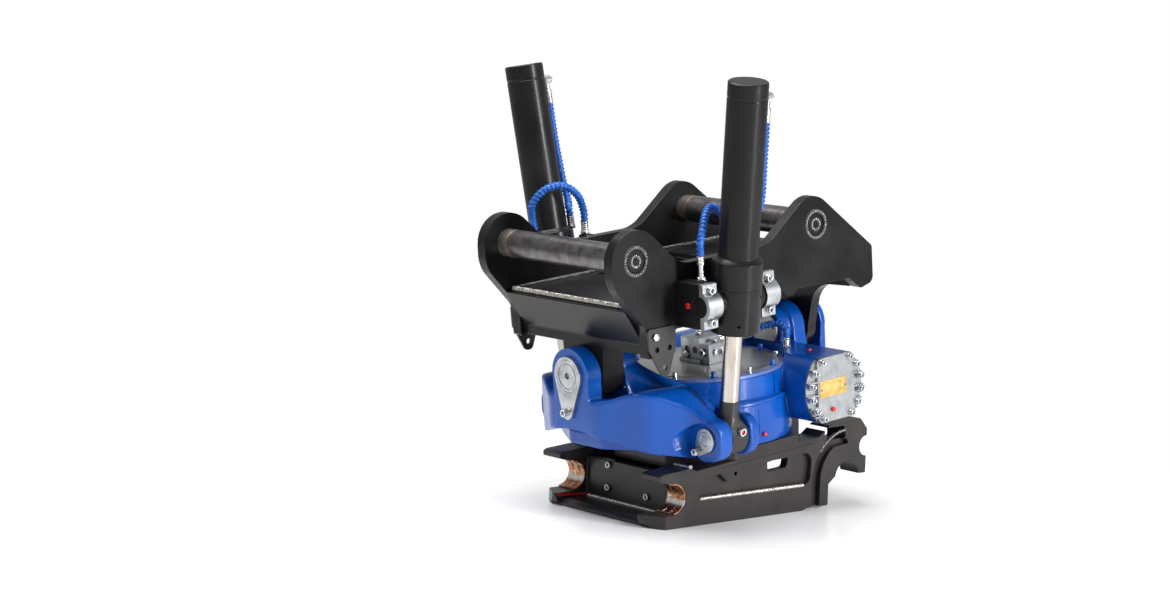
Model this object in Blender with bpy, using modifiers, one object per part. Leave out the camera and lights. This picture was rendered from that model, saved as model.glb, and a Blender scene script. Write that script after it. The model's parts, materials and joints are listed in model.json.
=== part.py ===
"""Excavator tilt rotator: a pin-on hitch that tilts on two rams, over a worm driven rotor and a tool coupler.

Metres, +Z up. The coupler stands level on the floor. The rotor above it leans back by ROTOR_LEAN, so most
pieces hang under the empty slew_axis, whose origin is where the slewing axis crosses the tilt axis.
"""
import math

import bmesh
import bpy
from mathutils import Matrix, Vector

# Driving dimensions
GAP = 0.0003
QUARTER = math.pi / 2

ROTOR_LEAN = 0.1148
AXIS_HEIGHT = 0.4113

PIN_SPACING = 0.600
PIN_R = 0.035
PIN_SPIGOT_R = 0.028
PIN_SEAT = 0.002
PLATE_INSIDE = 0.2255
PLATE_T = 0.030
FRONT_PIN_Y = -0.432
PIN_Z = 0.308
TOP_PLATE_Z = 0.190
TOP_PLATE_T = 0.012

TILT_PIN_R = 0.030
BUSH_BORE_R = 0.0308
BUSH_T = 0.007
FRONT_EAR = (-0.443, -0.399)
FRONT_INNER_EAR = (-0.325, -0.282)
REAR_INNER_EAR = (0.259, 0.3005)
REAR_EAR = (0.362, 0.380)
REAR_HUB_Y = 0.225
FRONT_LUG = (-0.396, -0.329)
REAR_LUG = (0.316, 0.346)
LUG_R = 0.066

RAM_Y = -0.194
TRUNNION_X = 0.339
TRUNNION_Z = 0.186
CLEVIS_X = 0.288
CLEVIS_Z = -0.156
CLEVIS_PIN_R = 0.0175
EYE_BORE_R = 0.036
EYE_R = 0.0485
EYE_T = 0.052
CLEVIS_FRONT_EAR = (-0.263, -0.223)
CLEVIS_REAR_EAR = (-0.165, -0.137)
TRUNNION_R = 0.025
BEARING_OFFSET = 0.095
BEARING_T = 0.045
BEARING_HALF_Z = 0.055
CAP_BOLT_OFFSET = 0.0395

BARREL_R = 0.049
BARREL_BORE_R = 0.040
BARREL_TOP = 0.5367
COLLAR_R = 0.0625
COLLAR_TOP = 0.104
COLLAR_SPLIT = 0.036
COLLAR_BOTTOM = -0.076
ROD_R = 0.0225
ROD_SHOULDER = 0.090
PISTON_LEVEL = 0.200
ELBOW = (0.036, 0.0475, 0.134)

DRUM_R = 0.208
DRUM_LOW_R = 0.219
DRUM_TOP = -0.056
DRUM_FLANGE = -0.118
DRUM_BOTTOM = -0.2245
CAVITY_R = 0.1755
CAVITY_TOP = -0.078
SWIVEL_R = 0.0553
SLEEVE_R = 0.085
DISC_R = 0.2065
DISC_TOP = -0.0456

WORM_Y = 0.197
WORM_Z = -0.113
WORM_PITCH_R = 0.037
WHEEL_PITCH_R = 0.160
WHEEL_TEETH = 48
WHEEL_HALF_WIDTH = 0.022
ADDENDUM = 0.0065
DEDENDUM = 0.0080
TOOTH_T = 0.0093
PRESSURE_ANGLE = math.radians(20)
WORM_BORE_R = 0.0455
WORM_HOUSING_X = 0.262
RACE = (-0.200, -0.158)
COVER_X = 0.279
COVER_R = 0.100
COVER_FLAT = 0.083
COVER_BOLT_R = 0.0878
BEARING_X = (0.205, 0.235)

JAW_Y = -0.2819
JAW_Z = 0.0727
JAW_R = 0.0395
REAR_JAW_R = 0.043
COUPLER_HALF = 0.2225
HOOK_T = 0.0665
DECK_TOP = -0.226
DECK_T = 0.022
DECK_APOTHEM = 0.235
LOCK_PIN_R = 0.016
LOCK_PIN_X = 0.105
LOCK_Z = JAW_Z - 0.046

HOSE_R = 0.008
FEED_OUTER = (0.312, -0.2765)
FEED_INNER = (0.272, -0.142)
FEED_BRACKET_TOP = 0.281

# Quarter turns that lay a drawn outline, or a turned axis, along X, Y or Z
LAY = {"X": (QUARTER, 0, QUARTER), "Y": (QUARTER, 0, 0), "Z": (0, 0, 0)}
AIM = {"X": (0, QUARTER, 0), "Y": (-QUARTER, 0, 0), "Z": (0, 0, 0)}

for old in list(bpy.data.objects):
    bpy.data.objects.remove(old)

scene = bpy.context.scene
parts = bpy.data.collections.new("tilt_rotator")
cutters = bpy.data.collections.new("cutters")
scene.collection.children.link(parts)
scene.collection.children.link(cutters)


def material(name, colour, roughness, metallic):
    mat = bpy.data.materials.new(name)
    mat.use_nodes = True
    shader = mat.node_tree.nodes["Principled BSDF"]
    shader.inputs["Base Color"].default_value = (*colour, 1.0)
    shader.inputs["Roughness"].default_value = roughness
    shader.inputs["Metallic"].default_value = metallic
    return mat


CHARCOAL = material("charcoal_paint", (0.045, 0.045, 0.050), 0.42, 0.0)
BLUE = material("blue_paint", (0.004, 0.085, 0.420), 0.30, 0.0)
STEEL = material("bare_steel", (0.50, 0.49, 0.47), 0.35, 1.0)
CHROME = material("chrome", (0.72, 0.70, 0.67), 0.12, 1.0)
ZINC = material("zinc_plate", (0.62, 0.63, 0.64), 0.30, 1.0)
CAST_ALU = material("cast_aluminium", (0.48, 0.50, 0.52), 0.40, 1.0)
BRONZE = material("bronze", (0.50, 0.28, 0.12), 0.35, 1.0)
BLACK = material("black_paint", (0.018, 0.018, 0.018), 0.45, 0.0)
RED = material("red_plastic", (0.55, 0.02, 0.01), 0.35, 0.0)
HOSE = material("blue_hose", (0.01, 0.10, 0.45), 0.45, 0.0)


def empty(name, at, turn=(0, 0, 0), parent=None):
    axis = bpy.data.objects.new(name, None)
    axis.location = at
    axis.rotation_euler = turn
    axis.parent = parent
    parts.objects.link(axis)
    return axis


# The joint axes, each an empty that its pieces hang from
ram_lean = math.atan2(TRUNNION_X - CLEVIS_X, TRUNNION_Z - CLEVIS_Z)
ram_length = math.hypot(TRUNNION_X - CLEVIS_X, TRUNNION_Z - CLEVIS_Z)
slew = empty("slew_axis", (0, 0, AXIS_HEIGHT), (ROTOR_LEAN, 0, 0))
tilt = empty("tilt_axis", (0, 0, 0), parent=slew)
worm_axis = empty("worm_axis", (0, WORM_Y, WORM_Z), parent=slew)
trunnion = {
    "near": empty("trunnion_near", (TRUNNION_X, RAM_Y, TRUNNION_Z), (0, ram_lean, 0), tilt),
    "far": empty("trunnion_far", (-TRUNNION_X, RAM_Y, TRUNNION_Z), (0, -ram_lean, 0), tilt),
}
lock_axis = empty("lock_axis", (0, JAW_Y, LOCK_Z))
SIDE = {"near": 1, "far": -1}


def add(name, mesh, mat, parent, at=(0, 0, 0), turn=(0, 0, 0)):
    """Place a mesh: with a material it is a part, without one it is a cutter or a guide."""
    piece = bpy.data.objects.new(name, mesh)
    piece.location = at
    piece.rotation_euler = turn
    piece.parent = parent
    if mat:
        mesh.materials.append(mat)
        parts.objects.link(piece)
    else:
        cutters.objects.link(piece)
        piece.display_type = "WIRE"
        piece.hide_render = True
    return piece


def finish(bm, name):
    mesh = bpy.data.meshes.new(name)
    bm.to_mesh(mesh)
    bm.free()
    mesh.shade_smooth()
    mesh.set_sharp_from_angle(angle=math.radians(32))
    return mesh


def block(name, low, high, mat=None, parent=None, bevel=0.0):
    """A box between two corners, its edges rounded by bevel."""
    bm = bmesh.new()
    bmesh.ops.create_cube(bm, size=1.0)
    size = [b - a for a, b in zip(low, high)]
    bmesh.ops.scale(bm, vec=size, verts=bm.verts)
    if bevel:
        bmesh.ops.bevel(bm, geom=bm.edges[:], offset=bevel, segments=1, profile=0.5, affect="EDGES")
    middle = [(a + b) / 2 for a, b in zip(low, high)]
    return add(name, finish(bm, name), mat, parent, middle)


def bar_mesh(name, radius, length, sides, tip=None):
    bm = bmesh.new()
    bmesh.ops.create_cone(bm, cap_ends=True, segments=sides, radius1=radius,
                          radius2=radius if tip is None else tip, depth=length)
    return finish(bm, name)


def bar(name, radius, start, end, centre, axis, mat=None, parent=None, sides=24, tip=None):
    """A round bar along an axis, from start to end, about the other two coordinates of centre."""
    middle = list(centre)
    middle["XYZ".index(axis)] = (start + end) / 2
    mesh = bar_mesh(name, radius, end - start, sides, tip)
    return add(name, mesh, mat, parent, middle, AIM[axis])


def turned(name, profile, mat=None, parent=None, at=(0, 0, 0), axis="Z", steps=28, closed=False):
    """A turned piece: the profile (radius, height) runs down its outer side and is swept about the axis."""
    bm = bmesh.new()
    points = [bm.verts.new((radius, 0, height)) for radius, height in profile]
    for first, second in zip(points, points[1:]):
        bm.edges.new((first, second))
    if closed:
        bm.edges.new((points[-1], points[0]))
    mesh = bpy.data.meshes.new(name)
    bm.to_mesh(mesh)
    bm.free()
    piece = add(name, mesh, mat, parent, at, AIM[axis])
    screw = piece.modifiers.new("turn", "SCREW")
    screw.steps = steps
    screw.render_steps = steps
    screw.use_merge_vertices = True
    screw.merge_threshold = 0.00005
    return piece


def ring(name, inner, outer, low, high, mat=None, parent=None, at=(0, 0, 0), axis="Z", steps=24):
    profile = [(outer, high), (outer, low), (inner, low), (inner, high)]
    return turned(name, profile, mat, parent, at, axis, steps, closed=True)


def outline(corners, step=math.radians(28)):
    """The points of a closed outline, from corners (u, v, radius), each rounded to its radius."""
    points = []
    for index, (u, v, radius) in enumerate(corners):
        here = Vector((u, v))
        if radius == 0:
            points.append(here)
            continue
        before = (Vector(corners[index - 1][:2]) - here).normalized()
        after = (Vector(corners[(index + 1) % len(corners)][:2]) - here).normalized()
        half = before.angle(after) / 2
        centre = here + (before + after).normalized() * (radius / math.sin(half))
        start = here + before * (radius / math.tan(half)) - centre
        end = here + after * (radius / math.tan(half)) - centre
        turn = math.copysign(math.pi - 2 * half, start.x * end.y - start.y * end.x)
        count = max(1, math.ceil(abs(turn) / (step if radius > 0.015 else 2 * step)))
        for k in range(count + 1):
            angle = turn * k / count
            spun = Vector((start.x * math.cos(angle) - start.y * math.sin(angle),
                           start.x * math.sin(angle) + start.y * math.cos(angle)))
            points.append(centre + spun)
    return points


def arc(u, v, radius, first, last, count):
    """Sharp corners (u, v, 0) along an arc, its angles in degrees."""
    angles = [math.radians(first + (last - first) * k / count) for k in range(count + 1)]
    return [(u + radius * math.cos(a), v + radius * math.sin(a), 0) for a in angles]


def circle(u, v, radius, sides=16):
    """A hole's outline, drawn round its radius so that a pin of that radius clears every facet."""
    return outline(arc(u, v, radius / math.cos(math.pi / sides), 0, 360 - 360 / sides, sides - 1))


def moved(corners, u, v):
    return [(a + u, b + v, radius) for a, b, radius in corners]


def plate(name, loops, low, high, axis, mat=None, parent=None):
    """A flat outline with its holes, thick from low to high along an axis, as one welded mesh."""
    curve = bpy.data.curves.new(name, "CURVE")
    curve.dimensions = "2D"
    curve.fill_mode = "BOTH"
    curve.extrude = (high - low) / 2
    for loop in loops:
        spline = curve.splines.new("POLY")
        spline.points.add(len(loop) - 1)
        spline.use_cyclic_u = True
        for point, place in zip(spline.points, loop):
            point.co = (place[0], place[1], 0, 1)
    drawn = bpy.data.objects.new(name, curve)
    scene.collection.objects.link(drawn)
    graph = bpy.context.evaluated_depsgraph_get()
    bm = bmesh.new()
    bm.from_mesh(bpy.data.meshes.new_from_object(drawn.evaluated_get(graph)))
    bpy.data.objects.remove(drawn)
    bmesh.ops.remove_doubles(bm, verts=bm.verts, dist=0.00001)
    bmesh.ops.recalc_face_normals(bm, faces=bm.faces)
    centre = [0, 0, 0]
    centre["XYZ".index(axis)] = (low + high) / 2
    return add(name, finish(bm, name), mat, parent, centre, LAY[axis])


def combine(piece, tool, operation):
    step = piece.modifiers.new(operation.lower(), "BOOLEAN")
    step.operation = operation
    step.solver = "EXACT"
    step.object = tool
    return piece


def fuse(piece, *tools):
    for tool in tools:
        combine(piece, tool, "UNION")


def cut(piece, *tools):
    for tool in tools:
        combine(piece, tool, "DIFFERENCE")


def stud(piece, name, mesh, places, parent):
    """Join copies of one small solid to a piece, a matrix for each place."""
    bm = bmesh.new()
    for place in places:
        bm.from_mesh(mesh)
        bmesh.ops.transform(bm, matrix=place, verts=bm.verts[-len(mesh.vertices):])
    fuse(piece, add(name, finish(bm, name), None, parent))


def mirror(piece):
    """Repeat a guide on the far side of the middle plane."""
    half = piece.modifiers.new("mirror", "MIRROR")
    half.mirror_object = slew
    half.use_mirror_merge = False
    return piece


def smooth_route(points, spacing):
    """Points along a smooth curve through the route's own points."""
    knots = [Vector(p) for p in points]
    knots = [2 * knots[0] - knots[1]] + knots + [2 * knots[-1] - knots[-2]]
    route = []
    for a, b, c, d in zip(knots, knots[1:], knots[2:], knots[3:]):
        count = max(1, round((c - b).length / spacing))
        for k in range(count):
            t = k / count
            route.append(0.5 * ((2 * b) + (c - a) * t + (2 * a - 5 * b + 4 * c - d) * t * t
                                + (3 * b - a - 3 * c + d) * t * t * t))
    return route + [knots[-2]]


def hose(name, points, parent):
    curve = bpy.data.curves.new(name, "CURVE")
    curve.dimensions = "3D"
    curve.bevel_depth = HOSE_R
    curve.bevel_resolution = 2
    curve.use_fill_caps = True
    route = smooth_route(points, 3 * HOSE_R)
    spline = curve.splines.new("POLY")
    spline.points.add(len(route) - 1)
    for point, place in zip(spline.points, route):
        point.co = (*place, 1)
    tube = bpy.data.objects.new(name, curve)
    tube.parent = parent
    curve.materials.append(HOSE)
    parts.objects.link(tube)
    return tube


def bore(piece, radius, start, end, centre, axis, parent, sides=16):
    """A drilled hole, drawn round its radius so that a pin of that radius clears every facet."""
    round_it = radius / math.cos(math.pi / sides)
    cut(piece, bar("bore", round_it, start, end, centre, axis, parent=parent, sides=sides))


def at(x, y, z, axis="Z"):
    """The matrix that stands a small solid's own Z along an axis at a point."""
    turn = {"X": Matrix.Rotation(QUARTER, 4, "Y"), "Y": Matrix.Rotation(-QUARTER, 4, "X"), "Z": Matrix()}
    return Matrix.Translation((x, y, z)) @ turn[axis]


def rotor_plane(y, level):
    """Height above the floor of a plane square to the leaning rotor axis, at a floor coordinate y."""
    return AXIS_HEIGHT + y * math.tan(ROTOR_LEAN) + level / math.cos(ROTOR_LEAN)


# Upper hitch: side plates, cross pins and the box between them
def hitch_side_plates():
    corners = [
        (-0.074, 0.074, 0.074), (0.036, 0.074, 0.074), (0.140, -0.028, 0.070), (0.432, -0.028, 0.090),
        (0.567, 0.072, 0.070), (0.6145, 0.072, 0.065), (0.798, -0.084, 0.012), (0.798, -0.177, 0.020),
        (0.752, -0.188, 0.012), (0.712, -0.155, 0.012), (0.527, -0.152, 0.010), (0.514, -0.165, 0.006),
        (0.494, -0.165, 0.006), (0.474, -0.148, 0.010), (0.372, -0.148, 0), (0.362, -0.183, 0.010),
        (0.308, -0.183, 0.005), (0.302, -0.140, 0.020), (0.174, -0.140, 0.020), (0.168, -0.183, 0.005),
        (0.116, -0.183, 0.006), (0.112, -0.242, 0.010), (0.023, -0.242, 0.006), (0.023, -0.168, 0.050),
        (-0.074, -0.053, 0.074),
    ]
    edge = outline(moved(corners, FRONT_PIN_Y, PIN_Z))
    bores = [circle(FRONT_PIN_Y + step, PIN_Z, PIN_SPIGOT_R + GAP) for step in (0, PIN_SPACING)]
    split = TRUNNION_X - GAP
    root = PLATE_INSIDE + PLATE_T - 0.002
    low, high = TRUNNION_Z - BEARING_HALF_Z, TRUNNION_Z + BEARING_HALF_Z
    base = [(root, low, 0), (root, high, 0), (split, high, 0.002)]
    base += arc(split, TRUNNION_Z, TRUNNION_R + 0.0009, 90, 270, 8) + [(split, low, 0.002)]
    end = bar_mesh("feed_end", 0.0095, 0.062, 8)
    inner_end = bar_mesh("feed_inner_end", 0.0095, 0.034, 8)
    x, y = FEED_INNER
    for side, sign in SIDE.items():
        faces = sorted((sign * PLATE_INSIDE, sign * (PLATE_INSIDE + PLATE_T)))
        piece = plate(f"hitch_plate_{side}", [edge, *bores], *faces, "X", CHARCOAL, tilt)
        seat = sorted((sign * (PLATE_INSIDE - 0.01), sign * (PLATE_INSIDE + PIN_SEAT)))
        for place in (FRONT_PIN_Y, FRONT_PIN_Y + PIN_SPACING):
            cut(piece, plate("pin_seat", [circle(place, PIN_Z, PIN_R + GAP, 24)], *seat, "X", None, tilt))
        for y in (RAM_Y - BEARING_OFFSET, RAM_Y + BEARING_OFFSET):
            shape = [(sign * u, v) for u, v in outline(base)]
            fuse(piece, plate("bearing_base", [shape], y - BEARING_T / 2, y + BEARING_T / 2, "Y", None, tilt))
        stud(piece, "feed_outer_end", end, [at(sign * FEED_OUTER[0], FEED_OUTER[1], high + 0.030)], tilt)
        corner = sorted((sign * (PLATE_INSIDE + PLATE_T - 0.001), sign * (x + 0.010)))
        fuse(piece, block("feed_bracket", (corner[0], y - 0.014, FEED_BRACKET_TOP - 0.026),
                          (corner[1], y + 0.014, FEED_BRACKET_TOP), parent=tilt))
        stud(piece, "feed_inner_end", inner_end, [at(sign * x, y, FEED_BRACKET_TOP + 0.016)], tilt)


def hitch_pins():
    shoulder = PLATE_INSIDE + PIN_SEAT - GAP
    end = PLATE_INSIDE + PLATE_T - 0.002
    half = [(PIN_SPIGOT_R, end), (PIN_SPIGOT_R, shoulder), (PIN_R, shoulder)]
    profile = [(0, end)] + half + [(radius, -height) for radius, height in reversed(half)] + [(0, -end)]
    for name, y in (("front_pin", FRONT_PIN_Y), ("rear_pin", FRONT_PIN_Y + PIN_SPACING)):
        turned(name, profile, STEEL, tilt, (0, y, PIN_Z), "X", steps=20)


def hitch_front_plate():
    """The bent front plate, with the thick lug that hangs in the front clevis."""
    inside = PLATE_INSIDE - GAP
    bend = [(-0.449, 0.186, 0), (-0.396, 0.095, 0), (-0.396, 0.070, 0), (-0.373, 0.070, 0),
            (-0.373, 0.100, 0), (-0.424, 0.186, 0)]
    piece = plate("hitch_front_box", [outline(bend)], -inside, inside, "X", CHARCOAL, tilt)
    lug = [(-LUG_R, -LUG_R, LUG_R), (LUG_R, -LUG_R, LUG_R), (0.078, 0.110, 0), (0.050, 0.150, 0),
           (-0.050, 0.150, 0), (-0.078, 0.110, 0)]
    low, high = FRONT_LUG
    hub = plate("front_lug_guide", [outline(lug)], low + 0.0002, high, "Y", None, tilt)
    fuse(piece, hub)
    top = [(-inside, -0.430, 0), (inside, -0.430, 0), (inside, -0.010, 0), (-inside, -0.010, 0)]
    holes = [circle(-0.036, -0.262, 0.014), circle(0.185, -0.16, 0.016), circle(-0.185, -0.16, 0.016)]
    deck_bottom = TOP_PLATE_Z - TOP_PLATE_T
    fuse(piece, plate("front_deck", [outline(top), *holes], deck_bottom, TOP_PLATE_Z, "Z", None, tilt))
    bore(piece, TILT_PIN_R + BUSH_T + GAP, low - 0.05, high + 0.05, (0, 0, 0), "Y", tilt, 20)


def hitch_rear_plate():
    """The rear plate, whose middle hangs down as the rear lug."""
    inside = PLATE_INSIDE - GAP
    radius = 0.062
    half = [(inside, 0.207, 0), (inside, 0.122, 0.010), (0.092, 0.116, 0.070), (radius, 0.0, 0.020),
            (radius, -radius, radius)]
    corners = half + [(-u, v, r) for u, v, r in reversed(half)]
    hole = circle(0, 0, TILT_PIN_R + BUSH_T + GAP, 20)
    piece = plate("hitch_rear_box", [outline(corners), hole], *REAR_LUG, "Y", CHARCOAL, tilt)
    edge = REAR_LUG[1] - 0.006
    rear = [(-inside, 0.060, 0), (-0.09, 0.060, 0.03), (-0.05, 0.10, 0.02), (0.05, 0.10, 0.02),
            (0.09, 0.060, 0.03), (inside, 0.060, 0), (inside, edge, 0), (-inside, edge, 0)]
    fuse(piece, plate("rear_deck", [outline(rear)], 0.200, 0.212, "Z", None, tilt))


def lug_bushes():
    low, high = FRONT_LUG
    ring("front_lug_bush", BUSH_BORE_R, TILT_PIN_R + BUSH_T, low, high, BRONZE, tilt, axis="Y", steps=20)
    low, high = REAR_LUG
    flange = [(TILT_PIN_R + BUSH_T, high), (TILT_PIN_R + BUSH_T, low - GAP), (0.044, low - GAP),
              (0.044, low - 0.004), (BUSH_BORE_R, low - 0.004), (BUSH_BORE_R, high)]
    turned("rear_lug_bush", flange, BRONZE, tilt, (0, 0, 0), "Y", 20, closed=True)


def trunnion_caps():
    """The outer halves of the trunnion bearings, each held to its base by two socket bolts."""
    split = TRUNNION_X + GAP
    low, high = TRUNNION_Z - BEARING_HALF_Z, TRUNNION_Z + BEARING_HALF_Z
    seat = split + 0.0135
    cap = [(split, high, 0.002), (seat, high, 0.004), (seat, TRUNNION_Z + 0.032, 0.004)]
    cap += arc(split, TRUNNION_Z, 0.036, 60, -60, 6)
    cap += [(seat, TRUNNION_Z - 0.032, 0.004), (seat, low, 0.004), (split, low, 0.002)]
    cap += arc(split, TRUNNION_Z, TRUNNION_R + 0.0009, -90, 90, 8)
    bolt = bar_mesh("cap_bolt", 0.0095, 0.014, 8)
    for side, sign in SIDE.items():
        for place, y in (("front", RAM_Y - BEARING_OFFSET), ("rear", RAM_Y + BEARING_OFFSET)):
            shape = [(sign * u, v) for u, v in outline(cap)]
            piece = plate(f"trunnion_cap_{place}_{side}", [shape], y - BEARING_T / 2, y + BEARING_T / 2, "Y",
                          CAST_ALU, tilt)
            levels = (TRUNNION_Z - CAP_BOLT_OFFSET, TRUNNION_Z + CAP_BOLT_OFFSET)
            stud(piece, "cap_bolts", bolt, [at(sign * (seat + 0.006), y, z, "X") for z in levels], tilt)


def corner_brackets():
    """Thin drilled brackets under the front corners of the side plates."""
    shape = [(0.022, -0.170, 0.006), (0.108, -0.170, 0.010), (0.108, -0.222, 0.012), (0.082, -0.290, 0.012),
             (0.060, -0.290, 0.012), (0.024, -0.222, 0.012)]
    edge = outline(moved(shape, FRONT_PIN_Y, PIN_Z))
    drillings = ((0.048, -0.222), (0.088, -0.222), (0.071, -0.268))
    holes = [circle(FRONT_PIN_Y + y, PIN_Z + z, 0.007, 12) for y, z in drillings]
    root = PLATE_INSIDE + PLATE_T + GAP
    plate("corner_bracket_near", [edge, *holes], root, root + 0.006, "X", BLACK, tilt)
    plate("corner_bracket_far", [edge, *holes], -root - 0.006, -root, "X", BLACK, tilt)


# Tilt rams: barrel, trunnion collar, chromed rod and rod end
def ram(side):
    sign = SIDE[side]
    axis = trunnion[side]
    groove = BARREL_TOP - 0.036
    barrel = [(0, BARREL_TOP), (BARREL_R - 0.003, BARREL_TOP), (BARREL_R, BARREL_TOP - 0.003),
              (BARREL_R, groove), (BARREL_R - 0.0015, groove - 0.003), (BARREL_R, groove - 0.006),
              (BARREL_R, COLLAR_TOP + 0.004), (COLLAR_R - 0.003, COLLAR_TOP), (COLLAR_R, COLLAR_TOP - 0.003),
              (COLLAR_R, COLLAR_SPLIT + GAP), (BARREL_BORE_R, COLLAR_SPLIT + GAP),
              (BARREL_BORE_R, BARREL_TOP - 0.03), (0, BARREL_TOP - 0.03)]
    body = turned(f"ram_barrel_{side}", barrel, CHARCOAL, axis, steps=24)
    elbow_at = (-sign * ELBOW[0], ELBOW[1], 0)
    fuse(body, bar("collar_elbow", 0.0095, COLLAR_TOP - 0.010, ELBOW[2], elbow_at, "Z", parent=axis, sides=12))
    collar = [(COLLAR_R, COLLAR_SPLIT), (COLLAR_R, COLLAR_BOTTOM + 0.003), (COLLAR_R - 0.003, COLLAR_BOTTOM),
              (ROD_R + GAP, COLLAR_BOTTOM), (ROD_R + GAP, COLLAR_SPLIT)]
    body = turned(f"trunnion_collar_{side}", collar, CHARCOAL, axis, steps=24, closed=True)
    outer = BEARING_OFFSET + BEARING_T / 2 - 0.002
    for name, start, end in (("stub_front", -outer, -0.045), ("stub_rear", 0.045, outer)):
        fuse(body, bar(name, TRUNNION_R, start, end, (0, 0, 0), "Y", parent=axis, sides=16))

    shoulder = -(ram_length - ROD_SHOULDER)
    piston = BARREL_BORE_R - 0.0008
    rod = [(0, PISTON_LEVEL + 0.035), (piston, PISTON_LEVEL + 0.035), (piston, PISTON_LEVEL),
           (ROD_R, PISTON_LEVEL), (ROD_R, shoulder + GAP), (0, shoulder + GAP)]
    turned(f"ram_rod_{side}", rod, CHROME, axis, steps=20)
    rod_end(side, axis, shoulder)
    ram_fittings(side, axis, sign)


def rod_end(side, axis, shoulder):
    """The forged eye under the rod. Its bore is wide, because the linkage is left open at this pin."""
    half = EYE_T / 2
    ring_points = [(-0.0245, ROD_SHOULDER, 0), (0.0245, ROD_SHOULDER, 0), (0.0245, 0.052, 0.03)]
    ring_points += arc(0, 0, EYE_R, 42, -222, 16) + [(-0.0245, 0.052, 0.03)]
    edge = [(u, v - ram_length) for u, v in outline(ring_points)]
    hole = [(u, v - ram_length) for u, v in circle(0, 0, EYE_BORE_R, 20)]
    piece = plate(f"rod_end_{side}", [edge, hole], -half, half, "Y", BLACK, axis)
    waste = [(0.080, 0.010), (0.080, -0.095), (EYE_T / 2 + 0.003, -0.045), (0.0245, -0.030), (0.0235, 0.010)]
    cut(piece, turned(f"neck_{side}", waste, None, axis, (0, 0, shoulder), "Z", 20, True))


def ram_fittings(side, axis, sign):
    """A banjo at the head of the barrel, and the hose that leads from it to an elbow on the collar."""
    z = BARREL_TOP - 0.047
    out = BARREL_R + 0.017
    banjo = bar(f"ram_banjo_{side}", 0.012, BARREL_R + GAP, BARREL_R + 0.030, (0, 0, z), "Y", ZINC, axis, 12)
    fuse(banjo, bar("banjo_stem", 0.0085, z - 0.060, z, (0, out, 0), "Z", parent=axis, sides=12))
    x = -sign * ELBOW[0]
    start = z - 0.060 - GAP
    route = [(0, out, start), (0, out, start - 0.10), (-sign * 0.004, out + 0.002, start - 0.20),
             (-sign * 0.022, 0.060, start - 0.25), (x, ELBOW[1], ELBOW[2] + 0.022),
             (x, ELBOW[1], ELBOW[2] + 0.001)]
    hose(f"ram_hose_{side}", route, axis)


# Rotor housing: one casting with the drum, worm housing, tilt ears and ram clevises
def worm_section():
    """The outline of the worm housing and its covers: a circle with its top and bottom cut flat."""
    flat = math.degrees(math.asin(COVER_FLAT / COVER_R))
    front = arc(WORM_Y, WORM_Z, COVER_R, 180 - flat, 180 + flat, 7)
    return outline(arc(WORM_Y, WORM_Z, COVER_R, -flat, flat, 7) + front)


def ear_shape(radius, half, foot):
    return [(-half, foot, 0)] + arc(0, 0, radius, 192, -12, 12) + [(half, foot, 0)]


def arm_guide():
    """The broad curved arm from the front ear to the ram clevis: its front view laid over its plan."""
    front = [(0.030, -0.060, 0), (0.100, -0.055, 0.10), (0.150, -0.036, 0.06), (0.198, -0.028, 0.06),
             (0.255, -0.078, 0.08), (0.292, -0.106, 0.030), (0.340, -0.113, 0.034), (0.340, -0.206, 0.044),
             (0.275, -0.212, 0.04), (0.200, -0.186, 0.20), (0.100, -0.150, 0.20), (0.030, -0.137, 0)]
    plan = [(0.030, -0.4425, 0), (0.085, -0.4425, 0.06), (0.200, -0.375, 0.10), (0.262, -0.263, 0.06),
            (0.345, -0.263, 0), (0.345, -0.223, 0), (0.200, -0.223, 0.04), (0.165, -0.335, 0.08),
            (0.060, -0.4005, 0.04), (0.030, -0.4005, 0)]
    band = plate("arm_plan", [outline(plan)], -0.25, 0.0, "Z", None, slew)
    view = plate("arm_front_view", [outline(front)], -0.50, -0.15, "Y", None, slew)
    combine(band, view, "INTERSECT")
    return mirror(band)


def inner_web_guide():
    """The lower web that sweeps from the inner front ear round to the ram clevis."""
    view_shape = [(0.020, -0.137, 0), (0.020, 0.040, 0), (0.056, 0.022, 0.03), (0.110, -0.030, 0.10),
                  (0.200, -0.080, 0.06), (0.232, -0.110, 0), (0.232, -0.205, 0), (0.120, -0.190, 0)]
    plan = [(0.020, -0.325, 0), (0.075, -0.325, 0.05), (0.150, -0.245, 0.10), (0.232, -0.200, 0.05),
            (0.232, -0.165, 0), (0.130, -0.195, 0.05), (0.060, -0.282, 0.05), (0.020, -0.282, 0)]
    band = plate("web_plan", [outline(plan)], -0.25, 0.06, "Z", None, slew)
    view = plate("web_front_view", [outline(view_shape)], -0.50, -0.10, "Y", None, slew)
    combine(band, view, "INTERSECT")
    return mirror(band)


def clevis_guides():
    """The rear ear of each ram clevis and the root block behind the eye."""
    ear = [(0.100, -0.090, 0), (0.230, -0.100, 0.05), (0.290, -0.106, 0.03), (0.340, -0.110, 0.036),
           (0.340, -0.208, 0.044), (0.240, -0.212, 0.03), (0.100, -0.212, 0)]
    rear = plate("clevis_ear", [outline(ear)], *CLEVIS_REAR_EAR, "Y", None, slew)
    slot = CLEVIS_X - EYE_R - 0.022
    root = block("clevis_root", (0.120, CLEVIS_FRONT_EAR[0] + 0.02, -0.204),
                 (slot, CLEVIS_REAR_EAR[1] - 0.004, -0.120), parent=slew)
    boss = bar("clevis_boss", 0.030, CLEVIS_FRONT_EAR[1] - 0.020, CLEVIS_REAR_EAR[1] - 0.01,
               (slot - 0.032, 0, -0.120), "Y", parent=slew, sides=24)
    return [mirror(rear), mirror(root), mirror(boss)]


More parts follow.
